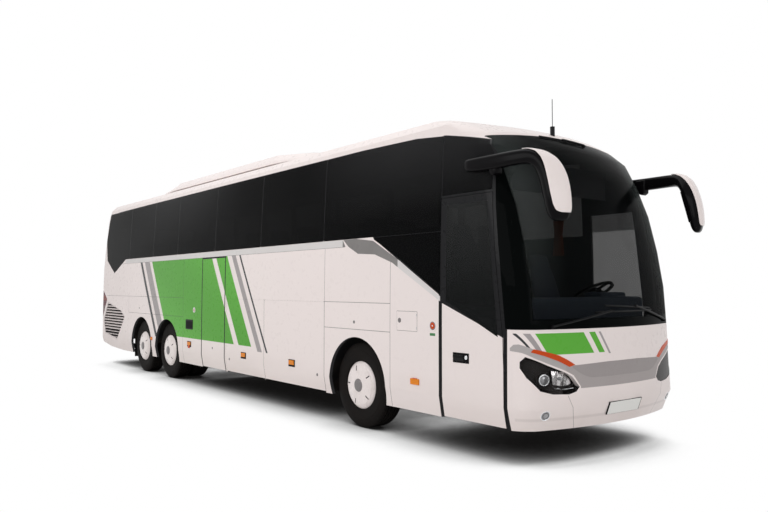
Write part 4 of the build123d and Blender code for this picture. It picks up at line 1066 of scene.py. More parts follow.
class COACH_OT_wheels(bpy.types.Operator):
    """Wheels with their domed covers"""
    bl_idname = "coach.wheels"
    bl_label = "Wheels"

    def execute(self, context):
        first = wheel(at(0, -TYRE_Y, WHEEL_Z), SINGLE_DISH)
        made = {"front": first, "tag": copy_of(first, (TAG_X, 0, 0)),
                "drive": wheel(at(DRIVE_X, -TYRE_Y, WHEEL_Z), TWIN_DISH)}
        both_sides(made, "_wheel_", "_cover")
        return {"FINISHED"}


# ---- mirrors ----------------------------------------------------------------------------------
MIRROR_REACH = 3.1
MIRROR_EDGE = 1.33
MIRROR_PATH = (
    # behind the mirror's front, height, slope, inward of the outermost edge, half width, half depth, toe
    (1.189, 2.925, 0.0, 0.048, 0.014, 0.03, 0.0), (1.18, 2.922, 0.0, 0.048, 0.03, 0.052, 0.0),
    (1.14, 2.915, 0.0, 0.048, 0.044, 0.068, 0.0), (0.9, 2.905, 1.0, 0.05, 0.05, 0.074, 0.0),
    (0.65, 2.908, 1.0, 0.052, 0.052, 0.072, 0.0), (0.47, 2.91, 0.0, 0.062, 0.06, 0.07, 0.0),
    (0.37, 2.903, -8.0, 0.083, 0.076, 0.07, 4.0), (0.295, 2.878, -26.0, 0.11, 0.096, 0.072, 8.0),
    (0.24, 2.832, -46.0, 0.132, 0.111, 0.075, 12.0), (0.2, 2.77, -62.0, 0.144, 0.118, 0.078, 16.0),
    (0.168, 2.69, -73.0, 0.148, 0.123, 0.08, 19.0), (0.142, 2.6, -79.0, 0.148, 0.124, 0.078, 20.0),
    (0.123, 2.5, -83.0, 0.148, 0.121, 0.074, 20.0), (0.112, 2.41, -87.0, 0.15, 0.114, 0.068, 20.0),
    (0.106, 2.35, -90.0, 0.152, 0.102, 0.058, 20.0), (0.104, 2.312, -93.0, 0.154, 0.086, 0.042, 20.0),
    (0.104, 2.296, -94.0, 0.155, 0.066, 0.026, 20.0), (0.104, 2.29, -94.0, 0.155, 0.044, 0.014, 20.0),
)
RING_CORNERS = 20
SQUARENESS = 0.62
COVER_EDGES = (
    # place along the path, angle of the inner edge, angle of the outer edge
    (5.2, 84.0, 96.0), (5.7, 62.0, 108.0), (6.4, 40.0, 118.0), (7.3, 28.0, 127.0), (8.4, 24.0, 133.0),
    (10.0, 22.0, 136.0), (11.6, 22.0, 134.0), (12.7, 24.0, 128.0), (13.5, 30.0, 114.0), (13.8, 48.0, 92.0),
)
COVER_STEPS = 12
COVER_PROUD = 0.005
PANE_ENDS = (9.3, 13.1)      # places along the path
PANE_TOE = math.radians(20.0)
PANES = (
    # half width, thickness, how far behind the shell, finish
    (0.08, 0.003, 0.0015, "mirror_glass"), (0.088, 0.01, 0.0005, "black_moulding"),
)
FOOT = ((2.215, 2.945), (2.345, 2.952), (2.338, 2.8), (2.3, 2.775), (2.262, 2.79))
FOOT_Y = -1.3
FOOT_WIDE = 0.1


def blended(rows, place):
    """The row at a fractional place in a table."""
    low = min(int(place), len(rows) - 2)
    share = place - low
    return [a + (b - a) * share for a, b in zip(rows[low], rows[low + 1])]


def head_spot(row, across, forward, up=0.0):
    """A point given from the middle of the right mirror's arm or head at a row of the path."""
    back, z, slope, inward, half, depth, toe = row
    ahead, side = math.cos(math.radians(toe)), math.sin(math.radians(toe))
    return at(MIRROR_REACH - back + forward * ahead + across * side,
              -MIRROR_EDGE + inward + across * ahead - forward * side, z + up)


def mirror_spot(row, angle, proud=0.0):
    """A point of the right mirror's shell, at an angle from its inner side over its front."""
    across, out = squared(angle, SQUARENESS, SQUARENESS)
    out *= row[5] + proud
    slope = math.radians(row[2])
    return head_spot(row, across * (row[4] + proud), -out * math.sin(slope), out * math.cos(slope))


def mirror_cover():
    """The white cover over the front of a mirror's head."""
    spans = len(COVER_EDGES) - 1
    bpy.ops.mesh.primitive_grid_add(x_subdivisions=COVER_STEPS, y_subdivisions=spans * 3, size=1.0)
    made = bpy.context.object
    for vertex in made.data.vertices:
        place, inner, outer = blended(COVER_EDGES, (vertex.co.y + 0.5) * spans)
        angle = math.radians(inner + (outer - inner) * (vertex.co.x + 0.5))
        vertex.co = mirror_spot(blended(MIRROR_PATH, place), angle, COVER_PROUD)
    outwards(merged(made))
    return softened(apply_modifier(made, "SOLIDIFY", thickness=COVER_PROUD * 1.6, offset=0.0))


def mirror_pane(half, thick, behind):
    """A flat pane on the back of the mirror's head, a little behind its shell."""
    corners = []
    for end, side in zip((0, 0, 1, 1), (-1, 1, 1, -1)):
        row = blended(MIRROR_PATH, PANE_ENDS[end])
        corners.append(head_spot(row, side * half, -(row[5] + behind - thick)))
    return smooth(plate(corners, (-thick * math.cos(PANE_TOE), thick * math.sin(PANE_TOE), 0.0), 0.002))


class COACH_OT_mirrors(bpy.types.Operator):
    """Antler mirrors with a white cover, a dark shell and their glass"""
    bl_idname = "coach.mirrors"
    bl_label = "Mirrors"

    def execute(self, context):
        angles = [2 * math.pi * i / RING_CORNERS for i in range(RING_CORNERS)]
        shell = softened(swept([[mirror_spot(row, angle) for angle in angles] for row in MIRROR_PATH]))
        parts = [wear(shell, "gloss_black"), wear(mirror_cover(), "white")]
        foot = plate([at(x, FOOT_Y, z) for x, z in FOOT], (0.0, FOOT_WIDE, 0.0), 0.012, 3)
        parts.append(wear(smooth(foot), "gloss_black"))
        parts += [wear(mirror_pane(half, thick, behind), look) for half, thick, behind, look in PANES]
        finish(pair(join(*parts)), "mirror_arms", node="mirrors")
        return {"FINISHED"}


# ---- lamps ------------------------------------------------------------------------------------
LAMP_LOOK = Vector((0.82, -0.57, 0.0))
LAMP_DEPTH = Vector((-0.06, 0.03, 0.0))
LAMP_MIDDLE = (-0.95, 0.85)
BOWL_SHRINK = (1.0, 0.9, 0.86)
PROJECTOR = (-1.034, 0.825, 0.62)    # seen from ahead, and its share of the lamp's depth
PROJECTOR_LOOK = Vector((0.93, -0.36, 0.0)).normalized()
PROJECTOR_PARTS = (
    # finish, shape, radius, thickness or height, how far ahead
    ("chrome", "ring", 0.05, 0.0065, 0.018), ("lamp_black", "ring", 0.07, 0.008, 0.0),
    ("projector_glass", "dome", 0.048, 0.024, 0.01),
)
SMALL_BULB = (-0.86, 0.83, 0.4)
BULB_PARTS = (("projector_glass", "dome", 0.017, 0.02, 0.0),)
LAMP_SIDE = 0.35             # the lamp's faces look along LAMP_LOOK by at least this
LAMP_LOWEST = 0.6
REFLECTOR_DEPTH, STRIP_DEPTH = 0.55, 0.35    # shares of the lamp's depth
REFLECTOR_PUSH, REFLECTOR_EDGE = 0.25, 0.006
STRIP_RADIUS = 0.006
LENS_THICK = 0.003
REFLECTOR = ((-0.948, 0.905), (-0.885, 0.903), (-0.819, 0.885), (-0.745, 0.826), (-0.728, 0.78),
             (-0.76, 0.764), (-0.843, 0.757), (-0.935, 0.775))
LIGHT_STRIP = ((-0.93, 0.742), (-0.82, 0.728), (-0.71, 0.735))
FOG_LAMP = (-1.02, 0.495)
FOG_PARTS = (
    ("chrome", "ring", 0.048, 0.005, -0.001), ("projector_glass", "dome", 0.045, 0.012, -0.004),
    ("lamp_black", "ring", 0.02976, 0.003, 0.004),
)
MARKERS_X, MARKER_PROUD = 2.0, 0.005         # the marker lamps ahead of the first stand out by the second


def right_lamp():
    """The right headlamp's outer faces."""
    obj = skin_copy("headlamps")
    edit(obj, "DESELECT", "FACE")
    mesh = bmesh.from_edit_mesh(obj.data)
    for face in mesh.faces:
        spot = face.calc_center_median()
        face.select = spot.y >= 0 or spot.z <= LAMP_LOWEST or face.normal.dot(LAMP_LOOK) <= LAMP_SIDE
    bmesh.update_edit_mesh(obj.data)
    bpy.ops.mesh.delete(type="FACE")
    leave()
    return obj


def facing(obj, spot, look):
    """Turn a piece's +Z to a direction and put it at a spot."""
    obj.rotation_euler = look.to_track_quat("Z", "Y").to_euler()
    obj.location = spot
    return smooth(settle(obj), 60.0)


def ring(radius, thick, spot, look):
    bpy.ops.mesh.primitive_torus_add(major_radius=radius, minor_radius=thick, major_segments=48,
                                     minor_segments=12)
    return facing(bpy.context.object, spot, look)


def dome(radius, height, spot, look):
    bpy.ops.mesh.primitive_uv_sphere_add(segments=32, ring_count=16, radius=radius)
    made = bpy.context.object
    made.scale = (1.0, 1.0, height / radius)
    return facing(settle(made), spot, look)


def round_parts(rows, spot, look):
    """Rings and domes about one axis."""
    shapes = {"ring": ring, "dome": dome}
    return [wear(shapes[shape](radius, high, spot + look * ahead, look), cover)
            for cover, shape, radius, high, ahead in rows]


def in_lamp(y, z, share):
    """A point behind the headlamp's lens, by a share of the lamp's depth."""
    return on_front(y, z) + LAMP_DEPTH * share


class COACH_OT_lamps(bpy.types.Operator):
    """Headlamps with housing, projector, reflector and lens, fog lamps and marker lamps"""
    bl_idname = "coach.lamps"
    bl_label = "Lamps"

    def execute(self, context):
        bowl = right_lamp()
        lens = copy_of(bowl)
        edit(bowl)
        extrude(LAMP_DEPTH)
        bpy.ops.transform.resize(value=BOWL_SHRINK, center_override=in_lamp(*LAMP_MIDDLE, 1.0))
        leave()
        outwards(bowl)
        edit(bowl)
        bpy.ops.mesh.flip_normals()
        leave()
        parts = [wear(smooth(bowl), "lamp_black")]
        parts += round_parts(PROJECTOR_PARTS, in_lamp(*PROJECTOR), PROJECTOR_LOOK)
        parts += round_parts(BULB_PARTS, in_lamp(*SMALL_BULB), PROJECTOR_LOOK)
        fog_look = touch(("headlamps",), at(RAY_AHEAD, *FOG_LAMP), -FORWARD)[1]
        parts += round_parts(FOG_PARTS, on_front(*FOG_LAMP), fog_look)
        cup = [in_lamp(y, z, REFLECTOR_DEPTH) for y, z in REFLECTOR]
        parts.append(wear(smooth(plate(cup, LAMP_DEPTH * REFLECTOR_PUSH, REFLECTOR_EDGE)), "reflector"))
        strip = [in_lamp(y, z, STRIP_DEPTH) for y, z in LIGHT_STRIP]
        parts.append(wear(tube(strip, STRIP_RADIUS), "chrome"))
        finish(pair(join(*parts)), "headlamp_units", node="headlamps")
        apply_modifier(lens, "SOLIDIFY", thickness=LENS_THICK, offset=-1.0)
        finish(pair(wear(smooth(lens), "lamp_lens")), "headlamp_lenses", slot=SLOTS["headlamps"])
        marker = skin_copy("marker_lamps")
        for vertex in marker.data.vertices:
            if vertex.co.x > AXLE_X + MARKERS_X:
                vertex.co += vertex.normal * MARKER_PROUD
        finish(marker, "marker_lenses", "orange_lens", node="marker_lamps")
        return {"FINISHED"}


# ---- wipers -----------------------------------------------------------------------------------
WIPERS = (
    # foot, where the arm takes the blade, ends of the blade, as (y, z) seen from ahead
    ((-0.935, 1.322), (-0.15, 1.464), (-0.4, 1.452), (0.6, 1.456)),
    ((0.985, 1.338), (0.25, 1.503), (0.56, 1.48), (-0.257, 1.516)),
    ((0.3, 3.262), (-0.05, 3.285), (0.28, 3.282), (-0.4, 3.292)),
)
ARM_OFF, ARM_RADIUS = 0.02, 0.0105
BLADE_OFF, BLADE_RADIUS = 0.012, 0.0075
LIP_OFF, LIP_RADIUS, LIP_DROP = 0.0054, 0.004, 0.01
KNOB_OFF = 0.024
FOOT_KNOB, BLADE_KNOB = (0.001, 0.02, 24), (BLADE_OFF, 0.014, 16)   # where it starts, radius, vertices


def along_screen(start, end, steps, proud, fall=0.0):
    """Points over the screen between two places seen from ahead."""
    places = [Vector(start).lerp(Vector(end), i / steps) for i in range(steps + 1)]
    return [on_front(y, z - fall, proud, SCREEN_NODES) for y, z in places]


def knob(place, low, radius, vertices):
    """A round boss over a place on the screen."""
    ends = [on_front(*place, off, SCREEN_NODES) for off in (low, KNOB_OFF)]
    return wear(bar(*ends, radius, vertices), "gloss_black")


class COACH_OT_wipers(bpy.types.Operator):
    """Wiper arms with their blades"""
    bl_idname = "coach.wipers"
    bl_label = "Wipers"

    def execute(self, context):
        parts = []
        for foot, take, start, end in WIPERS:
            arm, blade = along_screen(foot, take, 4, ARM_OFF), along_screen(start, end, 8, BLADE_OFF)
            lip = along_screen(start, end, 8, LIP_OFF, LIP_DROP)
            parts += [wear(tube(arm, ARM_RADIUS), "black_moulding"), knob(foot, *FOOT_KNOB),
                      wear(tube(blade, BLADE_RADIUS), "black_moulding"),
                      wear(tube(lip, LIP_RADIUS, 4), "rubber_seal"), knob(take, *BLADE_KNOB)]
        finish(join(*parts), "wiper_arms", node="wipers")
        return {"FINISHED"}


# ---- locks, markers, plates and other fittings outside ------------------------------------------
LOCKS = {
    # x, z, the body that it rides on
    "right": ((-4.065, 0.69, "mid_door"), (-7.57, 1.27, "body"), (-5.604, 0.891, "body"),
              (-0.037, 1.273, "body"), (-3.43, 0.56, "luggage_flap_right_1"),
              (-0.86, 0.56, "luggage_flap_right_2")),
    "left": ((-4.9, 0.56, "luggage_flap_left_1"), (-3.7, 0.56, "luggage_flap_left_2"),
             (-0.86, 0.56, "luggage_flap_left_3"), (-7.57, 1.27, "body"), (-0.037, 1.273, "body")),
}
LOCK = ((-0.004, 0.019), (0.0012, 0.019), (0.0022, 0.0175), (0.0022, 0.0135), (0.001, 0.0125),
        (0.001, 0.004))
KEYHOLE = (0.0015, 0.0014, 0.007)    # half width, how far it stands out, half height
MARKERS = (
    # x, z, half length, half height, bezel, the bodies that they ride on
    (1.108, 0.672, 0.07, 0.032, 0.0, "body", "body"), (-6.85, 0.692, 0.042, 0.022, 0.0, "body", "body"),
    (-5.016, 0.706, 0.066, 0.03, 0.018, "body", "luggage_flap_left_1"),
    (-2.946, 0.66, 0.066, 0.03, 0.018, "luggage_flap_right_1", "luggage_flap_left_2"),
    (-1.506, 0.664, 0.066, 0.03, 0.018, "luggage_flap_right_2", "luggage_flap_left_3"),
)
SIDE_BOXES = (
    # finish, from x, to x, from z, to z, how deep it sits, how far it stands out, bevel
    ("rubber_seal", 0.791, 1.144, 1.212, 1.431, 0.002, 0.0006, 0.0003),
    ("white", 0.794, 1.141, 1.215, 1.428, 0.002, 0.003, 0.0022),
    ("label_green", 1.352, 1.436, 1.182, 1.21, 0.001, 0.0012, 0.0004),
    ("black_moulding", -5.18, -4.868, 0.955, 1.125, 0.001, 0.005, 0.004),
    ("rubber_seal", -5.15, -4.898, 0.975, 1.095, -0.004, 0.007, 0.001),
)
SIDE_DISCS = (
    # finish, x, z, vertices, (how far out, radius) pairs: fuel flap's lock, filler
    ("cap_grey", 0.844, 1.3265, 32, ((0.0014, 0.027), (0.0056, 0.027), (0.0069, 0.022), (0.0069, 0.013),
                                     (0.0039, 0.012), (0.0039, 0.003))),
    ("silver_trim", -4.816, 1.296, 32, ((-0.002, 0.048), (0.004, 0.048), (0.006, 0.042), (0.006, 0.02),
                                        (0.0035, 0.018), (0.0035, 0.004))),
    ("orange_lens", -4.816, 1.296, 24, ((0.001, 0.017), (0.0065, 0.017), (0.0075, 0.012), (0.0075, 0.003))),
)
ROUND_REFLECTOR = (1.399, 1.288)
RING_SUNK = 0.002
RING_BEVEL = (0.0012, 0.93, 0.1)     # its depth, and the radius at its top and in the middle, as shares
REFLECTOR_RINGS = (
    # finish, radius, how far it stands out
    ("white", 0.056, 0.003), ("cap_grey", 0.045, 0.0048),
    ("orange_lens", 0.035, 0.0066), ("chrome", 0.009, 0.008),
)
FLAP_HINGES = (1.25, 1.393)          # heights
FLAP_HINGE_X = 1.138
HANDLE_BOXES = (
    # as the side's boxes: dish, hollow, grip
    ("gloss_black", 1.708, 1.94, 0.932, 1.034, 0.002, 0.0045, 0.004),
    ("bonding", 1.724, 1.865, 0.952, 1.016, -0.002, 0.006, 0.001),
    ("black_moulding", 1.72, 1.87, 0.979, 1.011, -0.003, 0.019, 0.006),
)
HANDLE_KEY = ("chrome", 1.902, 0.991, 24, ((0.002, 0.02), (0.0075, 0.02), (0.0085, 0.016), (0.0085, 0.003)))
MARKER_LENS = (0.001, 0.0145, 0.004)         # how deep it sits, how far it stands out, bevel
MARKER_BEZEL = (0.001, 0.0055, 0.004)
BEZEL_LOW, BEZEL_HIGH = 1.5, 0.6             # its width below and above, in widths at the ends
HINGE_PROUD, HINGE_HALF, HINGE_RADIUS = 0.004, 0.014, 0.0035
PLATE_HALF = 0.26
PLATE_OFF = 0.004
FRONT_PLATE = (0.453, 0.573)                 # lowest, highest
FRONT_SHEETS = (
    # finish, size, how far out it starts, thickness, bevel
    ("black_moulding", 1.045, 0.0, 0.01, 0.002), ("plate_face", 1.0, 0.0085, 0.0035, 0.0012),
)
REAR_PLATE_Z = 0.56
REAR_ROOM = 0.016                            # least room between it and the rearmost point
REAR_SHEETS = (
    # finish, from, to, half width, lowest, highest, bevel
    ("black_moulding", -0.012, 0.004, 0.285, 0.485, 0.62, 0.003),
    ("plate_face", -0.0155, -0.01, PLATE_HALF, 0.495, 0.61, 0.0012),
)


def skin_box(look, x0, x1, z0, z1, sunk, proud, bevel):
    """A box on the right-hand skin."""
    face = -skin_half((z0 + z1) / 2)
    return wear(box(at(x0, face - proud, z0), at(x1, face + sunk, z1), bevel), look)


def skin_disc(look, x, z, vertices, stations):
    """A turned piece on the right-hand skin."""
    return wear(smooth(turned(at(x, -skin_half(z), z), stations, vertices)), look)


def lock(x, z):
    """A flap's round lock with its slot."""
    face = -skin_half(z)
    half, proud, high = KEYHOLE
    slot = box(at(x - half, face - proud, z - high), at(x + half, face, z + high))
    return join(skin_disc("cap_grey", x, z, 32, LOCK), wear(slot, "bonding"))


class COACH_OT_fittings(bpy.types.Operator):
    """Locks, marker bezels, fuel flap, handles and number plates"""
    bl_idname = "coach.fittings"
    bl_label = "Fittings"

    def execute(self, context):
        for side, rows in LOCKS.items():
            for i, (x, z, body) in enumerate(rows):
                made = lock(x, z) if side == "right" else mirrored(lock(x, z))
                finish(made, "lock_%s_%d" % (side, i + 1), body=body, slot="silver_paint")
        for i, (x, z, half_x, half_z, bezel, right_body, left_body) in enumerate(MARKERS):
            lens = (x - half_x, x + half_x, z - half_z, z + half_z)
            parts = [skin_box("amber_lens", *lens, *MARKER_LENS)]
            if bezel:
                half_x += bezel
                low, high = z - half_z - bezel * BEZEL_LOW, z + half_z + bezel * BEZEL_HIGH
                parts.append(skin_box("rubber_seal", x - half_x, x + half_x, low, high, *MARKER_BEZEL))
            right = join(*parts)
            left = other_side(right)
            finish(right, "side_marker_right_%d" % (i + 1), body=right_body, slot="orange_lens")
            finish(left, "side_marker_left_%d" % (i + 1), body=left_body, slot="orange_lens")
        parts = [skin_box(*row) for row in SIDE_BOXES] + [skin_disc(*row) for row in SIDE_DISCS]
        depth, top, inner = RING_BEVEL
        for look, radius, proud in REFLECTOR_RINGS:
            edge = ((-RING_SUNK, radius), (proud - depth, radius), (proud, radius * top),
                    (proud, radius * inner))
            parts.append(skin_disc(look, *ROUND_REFLECTOR, 40, edge))
        for z in FLAP_HINGES:
            ends = [at(FLAP_HINGE_X, -HALF_WIDTH - HINGE_PROUD, z + end) for end in (-HINGE_HALF, HINGE_HALF)]
            parts.append(wear(bar(*ends, HINGE_RADIUS, 12), "chrome"))
        finish(pair(join(*parts)), "side_fittings", slot="black_plastic")
        parts = [skin_box(*row) for row in HANDLE_BOXES] + [skin_disc(*HANDLE_KEY)]
        finish(join(*parts), "front_door_handle", body="front_door", slot="black_plastic")
        self.plates()
        return {"FINISHED"}

    def plates(self):
        """Blank number plates in their frames, front and rear."""
        low, high = FRONT_PLATE
        places = ((-PLATE_HALF, low), (PLATE_HALF, low), (PLATE_HALF, high), (-PLATE_HALF, high))
        corners = [on_front(y, z, PLATE_OFF) for y, z in places]
        centre = sum(corners, Vector()) / 4
        out = (corners[1] - corners[0]).cross(corners[3] - corners[0]).normalized()
        sheets = []
        for look, size, start, thick, bevel in FRONT_SHEETS:
            edge = [centre + (corner - centre) * size + out * start for corner in corners]
            sheets.append(wear(plate(edge, out * thick, bevel), look))
        finish(join(*sheets), "front_plate", slot="black_plastic")
        rear = touch(REAR_NODES, at(RAY_BEHIND, 0.0, REAR_PLATE_Z), FORWARD)[0].x
        rear = max(rear, CAD_BOX[0].x + REAR_ROOM)
        sheets = [wear(box((rear + x0, -half, low), (rear + x1, half, high), bevel), look)
                  for look, x0, x1, half, low, high, bevel in REAR_SHEETS]
        finish(join(*sheets), "rear_plate", slot="black_plastic")


# ---- roof -------------------------------------------------------------------------------------
FAN_X = (-2.55, -3.55, -4.55, -5.55)
FAN_Y = (-0.42, 0.42)
FAN_RADIUS = 0.25
FAN_WELL = (-0.004, 0.003)           # lowest, highest
FAN_RIM = ("rubber_seal", "ring", 0.255, 0.014, -0.006)
GUARD_LIFT = 0.005
GUARD_RINGS = [("chassis_black", "ring", radius, 0.0035, GUARD_LIFT) for radius in (0.05, 0.105, 0.16, 0.215)]
GUARD_ARMS, ARM_THICK = 4, 0.004
HATCH_X = (-0.4, -8.35)
HATCH_BOXES = (
    # finish, half length, half width, lowest, highest, bevel, steps of the bevel
    ("white", 0.36, 0.31, 3.604, 3.622, 0.012, 3), ("rubber_seal", 0.385, 0.335, 3.598, 3.607, 0.003, 2),
)


def fan(centre):
    """A round opening with its rim, its well and its wire guard."""
    well = bar(*(centre + UP * end for end in FAN_WELL), FAN_RADIUS, 48)
    parts = [wear(well, "bonding")] + round_parts([FAN_RIM] + GUARD_RINGS, centre, UP)
    for i in range(GUARD_ARMS):
        turn = math.pi * i / GUARD_ARMS
        arm = Vector((math.cos(turn), math.sin(turn), 0)) * FAN_RADIUS
        top = centre + UP * GUARD_LIFT
        parts.append(wear(bar(top - arm, top + arm, ARM_THICK, 8), "chassis_black"))
    return parts


class COACH_OT_roof(bpy.types.Operator):
    """Fans of the cooling unit, and hatch lids"""
    bl_idname = "coach.roof"
    bl_label = "Roof"

    def execute(self, context):
        parts = []
        for x in FAN_X:
            spot = touch(("roof_fittings",), at(x, 0.0, RAY_ABOVE), -UP)[0]
            for y in FAN_Y:
                parts += fan(Vector((spot.x, y, spot.z)))
        finish(join(*parts), "cooling_fans", slot="black_plastic")
        parts = []
        for x in HATCH_X:
            for look, half_x, half_y, low, high, bevel, steps in HATCH_BOXES:
                lid = box(at(x - half_x, -half_y, low), at(x + half_x, half_y, high), bevel, steps)
                parts.append(wear(smooth(lid) if look == "white" else lid, look))
        finish(join(*parts), "hatch_lids", slot="white_paint")
        return {"FINISHED"}


# ---- seats and cab ----------------------------------------------------------------------------
SEAT_PITCH = 0.8
SEAT_ROWS = 12
FLOOR_TOP = 1.44
SEAT_FRONT_X = 0.26
SEAT_WIDE = 0.455
SEAT_PLACES = {"left": (0.27, 0.74), "right": (-1.192, -0.722)}    # the near edges of two seats
STAIR_X = (-4.51, -3.605)
STAIR_CLEAR = (0.52, 0.34)
DRIVER_PLACE = (1.52, 0.59, 0.99)
CUSHION = (0.462, 0.218, 0.335, 0.452)       # length, half width, lowest, highest
CROWN = (0.4, 0.022, 0.018, 0.05)           # the height that it starts over, its rise, its slope, its waist
BACK_SECTIONS = (
    # height, back of the seat back, its front, half width
    (0.3, -0.1, -0.028, 0.215), (0.48, -0.15, -0.04, 0.222), (0.7, -0.205, -0.115, 0.225),
    (0.88, -0.258, -0.168, 0.205), (0.93, -0.272, -0.178, 0.165), (0.98, -0.288, -0.186, 0.16),
    (1.06, -0.314, -0.208, 0.165), (1.11, -0.318, -0.236, 0.14),
)
BACK_CORNERS = 12
BACK_SQUARENESS = (0.5, 0.6)
LEG_HALF, LEG_FOOT, LEG_BEVEL = 0.03, 0.001, 0.008
REST_OUT, REST_RADIUS = 0.002, 0.014
GRAB_RADIUS = 0.01
LEGS = ((0.1, 0.36, 0.33), (-0.06, -0.03, 0.3))      # from, to, top
ARM_REST = ((-0.13, 0.6), (0.02, 0.615), (0.15, 0.6))      # x, height
GRAB_BAR = ((-0.31, 0.06, 1.02), (-0.345, 0.12, 1.04))       # x, how far in from the seats' edge, height
DRIVER_BOXES = (
    # two corners, bevel: base, post
    ((1.46, 0.4, 0.931), (2.0, 0.78, 0.99), 0.01), ((1.6, 0.49, 0.985), (1.9, 0.69, 1.325), 0.02),
)


def seat_shape():
    """One seat: a crowned cushion and a tall back with its headrest."""
    length, half, low, high = CUSHION
    start, rise, slope, waist = CROWN
    cushion = box((0.0, -half, low), (length, half, high))
    edit(cushion)
    bpy.ops.mesh.subdivide(number_cuts=5)
    leave()
    for vertex in cushion.data.vertices:
        spot = vertex.co
        along = (spot.x - length / 2) / (length / 2)
        if spot.z > start:
            spot.z += rise * (1 - (spot.y / half) ** 2) * (1 - along ** 2) + slope * (spot.x / length)
        spot.y *= 1.0 - waist * along ** 2
    angles = [2 * math.pi * i / BACK_CORNERS for i in range(BACK_CORNERS)]
    rings = []
    for z, rear, front, wide in BACK_SECTIONS:
        spots = [squared(angle, *BACK_SQUARENESS) for angle in angles]
        rings.append([Vector(((rear + front) / 2 + (front - rear) / 2 * along, wide * across, z))
                      for across, along in spots])
    return join(softened(cushion), softened(swept(rings)))


def seat_frame(x, outer, inner):
    """Legs, arm rests and the grab bar of one pair of seats."""
    def spot(ahead, y, up):
        return at(x + ahead, y, FLOOR_TOP + up)

    far = inner + SEAT_WIDE
    mid = (outer + far) / 2
    parts = [box(spot(start, mid - LEG_HALF, LEG_FOOT), spot(end, mid + LEG_HALF, top), LEG_BEVEL)
             for start, end, top in LEGS]
    for y in (outer - REST_OUT, far + REST_OUT):
        parts.append(tube([spot(ahead, y, up) for ahead, up in ARM_REST], REST_RADIUS))
    grab = [spot(ahead, outer + inset, up) for ahead, inset, up in GRAB_BAR]
    grab += [spot(ahead, far - inset, up) for ahead, inset, up in reversed(GRAB_BAR)]
    return parts + [tube(grab, GRAB_RADIUS)]


class COACH_OT_seats(bpy.types.Operator):
    """Rows of seats with their legs, arm rests and grab handles, and the driver's seat"""
    bl_idname = "coach.seats"
    bl_label = "Seats"

    def execute(self, context):
        model = wear(seat_shape(), "seat_cloth")
        cloths = {"left": [], "right": []}
        frames = []
        for row in range(SEAT_ROWS):
            x = SEAT_FRONT_X - row * SEAT_PITCH
            for side, (outer, inner) in SEAT_PLACES.items():
                if side == "right" and STAIR_X[0] - STAIR_CLEAR[0] <= x <= STAIR_X[1] + STAIR_CLEAR[1]:
                    continue
                for y in (outer, inner):
                    cloths[side].append(copy_of(model, at(x, y + SEAT_WIDE / 2, FLOOR_TOP)))
                frames += seat_frame(x, outer, inner)
        driver = copy_of(model, at(*DRIVER_PLACE))
        drop(model)
        finish(join(*cloths["left"], driver), "seats_left", node="seats", padded=0.85)
        finish(join(*cloths["right"]), "seats_right", slot=SLOTS["seats"], padded=0.85)
        frames += [box(at(*low), at(*high), bevel) for low, high, bevel in DRIVER_BOXES]
        finish(join(*frames), "seat_frames", "black_moulding", slot="black_plastic")
        return {"FINISHED"}


DASH_EDGE = (0.02, 3)
DASH_BOXES = (
    # two corners, bevel, steps of the bevel: binnacle, shelf under the screen
    ((2.1, 0.36, 1.395), (2.34, 0.82, 1.64), 0.03, 4), ((2.2, -1.08, 1.18), (2.42, 1.04, 1.59), 0.05, 4),
)
DISPLAY = ((2.085, 0.1, 1.33), (2.105, 0.32, 1.43), 0.004)
SUN_BLIND = ((1.98, -0.95, 2.72), (1.985, 0.95, 3.05), 0.002)
CURTAIN_PLACE = (1.12, 1.15, 2.1)
CURTAIN_HANG = (0.2, 0.62)
CURTAIN_FOLDS = 6
CURTAIN_DEPTH = 0.02
CURTAIN_TIE = 0.45           # the share of its height where it is tied
CURTAIN_WAIST = 0.62         # the share of its width there
CURTAIN_LEAN = 0.8
CURTAIN_FLARE = (1.15, 0.4)  # depth of the folds at the foot, and how much less at the top


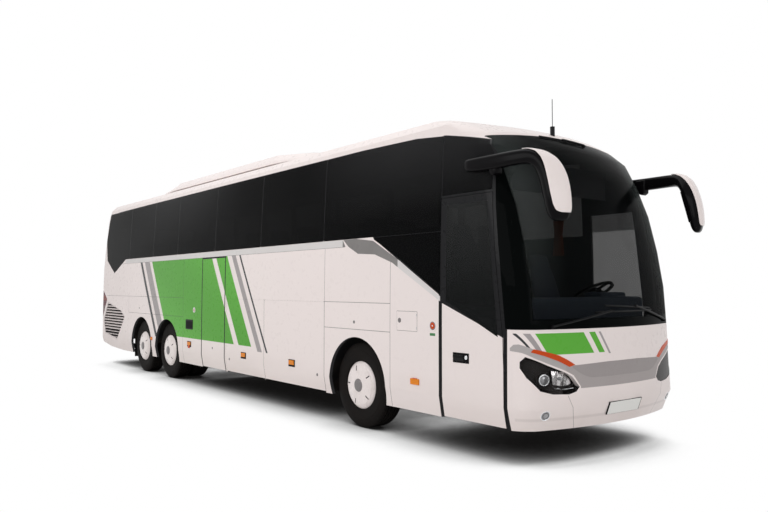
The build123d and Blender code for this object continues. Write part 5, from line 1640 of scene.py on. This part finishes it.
class COACH_OT_cab(bpy.types.Operator):
    """Dashboard, steering wheel, display, sun blind and the curtain at the driver's window"""
    bl_idname = "coach.cab"
    bl_label = "Cab"

    def execute(self, context):
        def body_box(low, high, *edge):
            return box(at(*low), at(*high), *edge)

        pieces = [rounded(skin_copy("dashboard"), *DASH_EDGE)] + [body_box(*row) for row in DASH_BOXES]
        parts = [wear(smooth(piece), "dash_top") for piece in pieces]
        parts.append(wear(body_box(*DISPLAY), "gloss_black"))
        finish(join(*parts), "dash_unit", node="dashboard")
        finish(skin_copy("steering_wheel", 40.0), "steering_rim", "black_moulding", node="steering_wheel")
        finish(body_box(*SUN_BLIND), "sun_blind", "lining", slot="black_plastic")
        self.curtain()
        return {"FINISHED"}

    def curtain(self):
        """A gathered curtain that hangs at the driver's window."""
        bpy.ops.mesh.primitive_grid_add(x_subdivisions=90, y_subdivisions=24, size=1.0)
        cloth = bpy.context.object
        width, drop_by = CURTAIN_HANG
        foot, less = CURTAIN_FLARE
        x, y, z = CURTAIN_PLACE
        for vertex in cloth.data.vertices:
            across, up = vertex.co.x, vertex.co.y + 0.5
            spread = CURTAIN_WAIST + (1.0 - CURTAIN_WAIST) * abs(up - CURTAIN_TIE) / (1.0 - CURTAIN_TIE)
            turn = (across + 0.5) * CURTAIN_FOLDS * 2 * math.pi + up * CURTAIN_LEAN
            wave = math.sin(turn) * CURTAIN_DEPTH * (foot - less * up)
            vertex.co = at(x + across * width * spread, y + wave, z + up * drop_by)
        apply_modifier(cloth, "SOLIDIFY", thickness=0.0015, offset=0.0)
        smooth(cloth, 70.0)
        finish(cloth, "curtain", "curtain_cloth", slot="seat_fabric")


# ---- the add-on -------------------------------------------------------------------------------
class COACH_PT_panel(bpy.types.Panel):
    """The coach's operators, in the order in which they run"""
    bl_idname = "COACH_PT_panel"
    bl_label = "Coach"
    bl_space_type = "VIEW_3D"
    bl_region_type = "UI"
    bl_category = "Coach"

    def draw(self, context):
        for step in STEPS:
            self.layout.operator(step.bl_idname)
        for group in (context.scene.coach_paint, context.scene.coach_studio):
            for key in group.__annotations__:
                self.layout.prop(group, key)


STEPS = (COACH_OT_stage, COACH_OT_body, COACH_OT_tyres, COACH_OT_wheels, COACH_OT_mirrors, COACH_OT_lamps,
         COACH_OT_wipers, COACH_OT_fittings, COACH_OT_roof, COACH_OT_seats, COACH_OT_cab)
CLASSES = (CoachPaint, CoachStudio) + STEPS + (COACH_PT_panel,)


def register():
    for item in CLASSES:
        bpy.utils.register_class(item)
    bpy.types.Scene.coach_paint = PointerProperty(type=CoachPaint)
    bpy.types.Scene.coach_studio = PointerProperty(type=CoachStudio)


def unregister():
    del bpy.types.Scene.coach_studio
    del bpy.types.Scene.coach_paint
    for item in reversed(CLASSES):
        bpy.utils.unregister_class(item)


def main():
    register()
    for make in (make_looks, make_paints, make_glass, make_silver, make_lenses, make_cloths):
        make(bpy.context.scene.coach_paint)
    for step in STEPS:
        group, name = step.bl_idname.split(".")
        getattr(getattr(bpy.ops, group), name)()


if __name__ == "__main__":
    main()
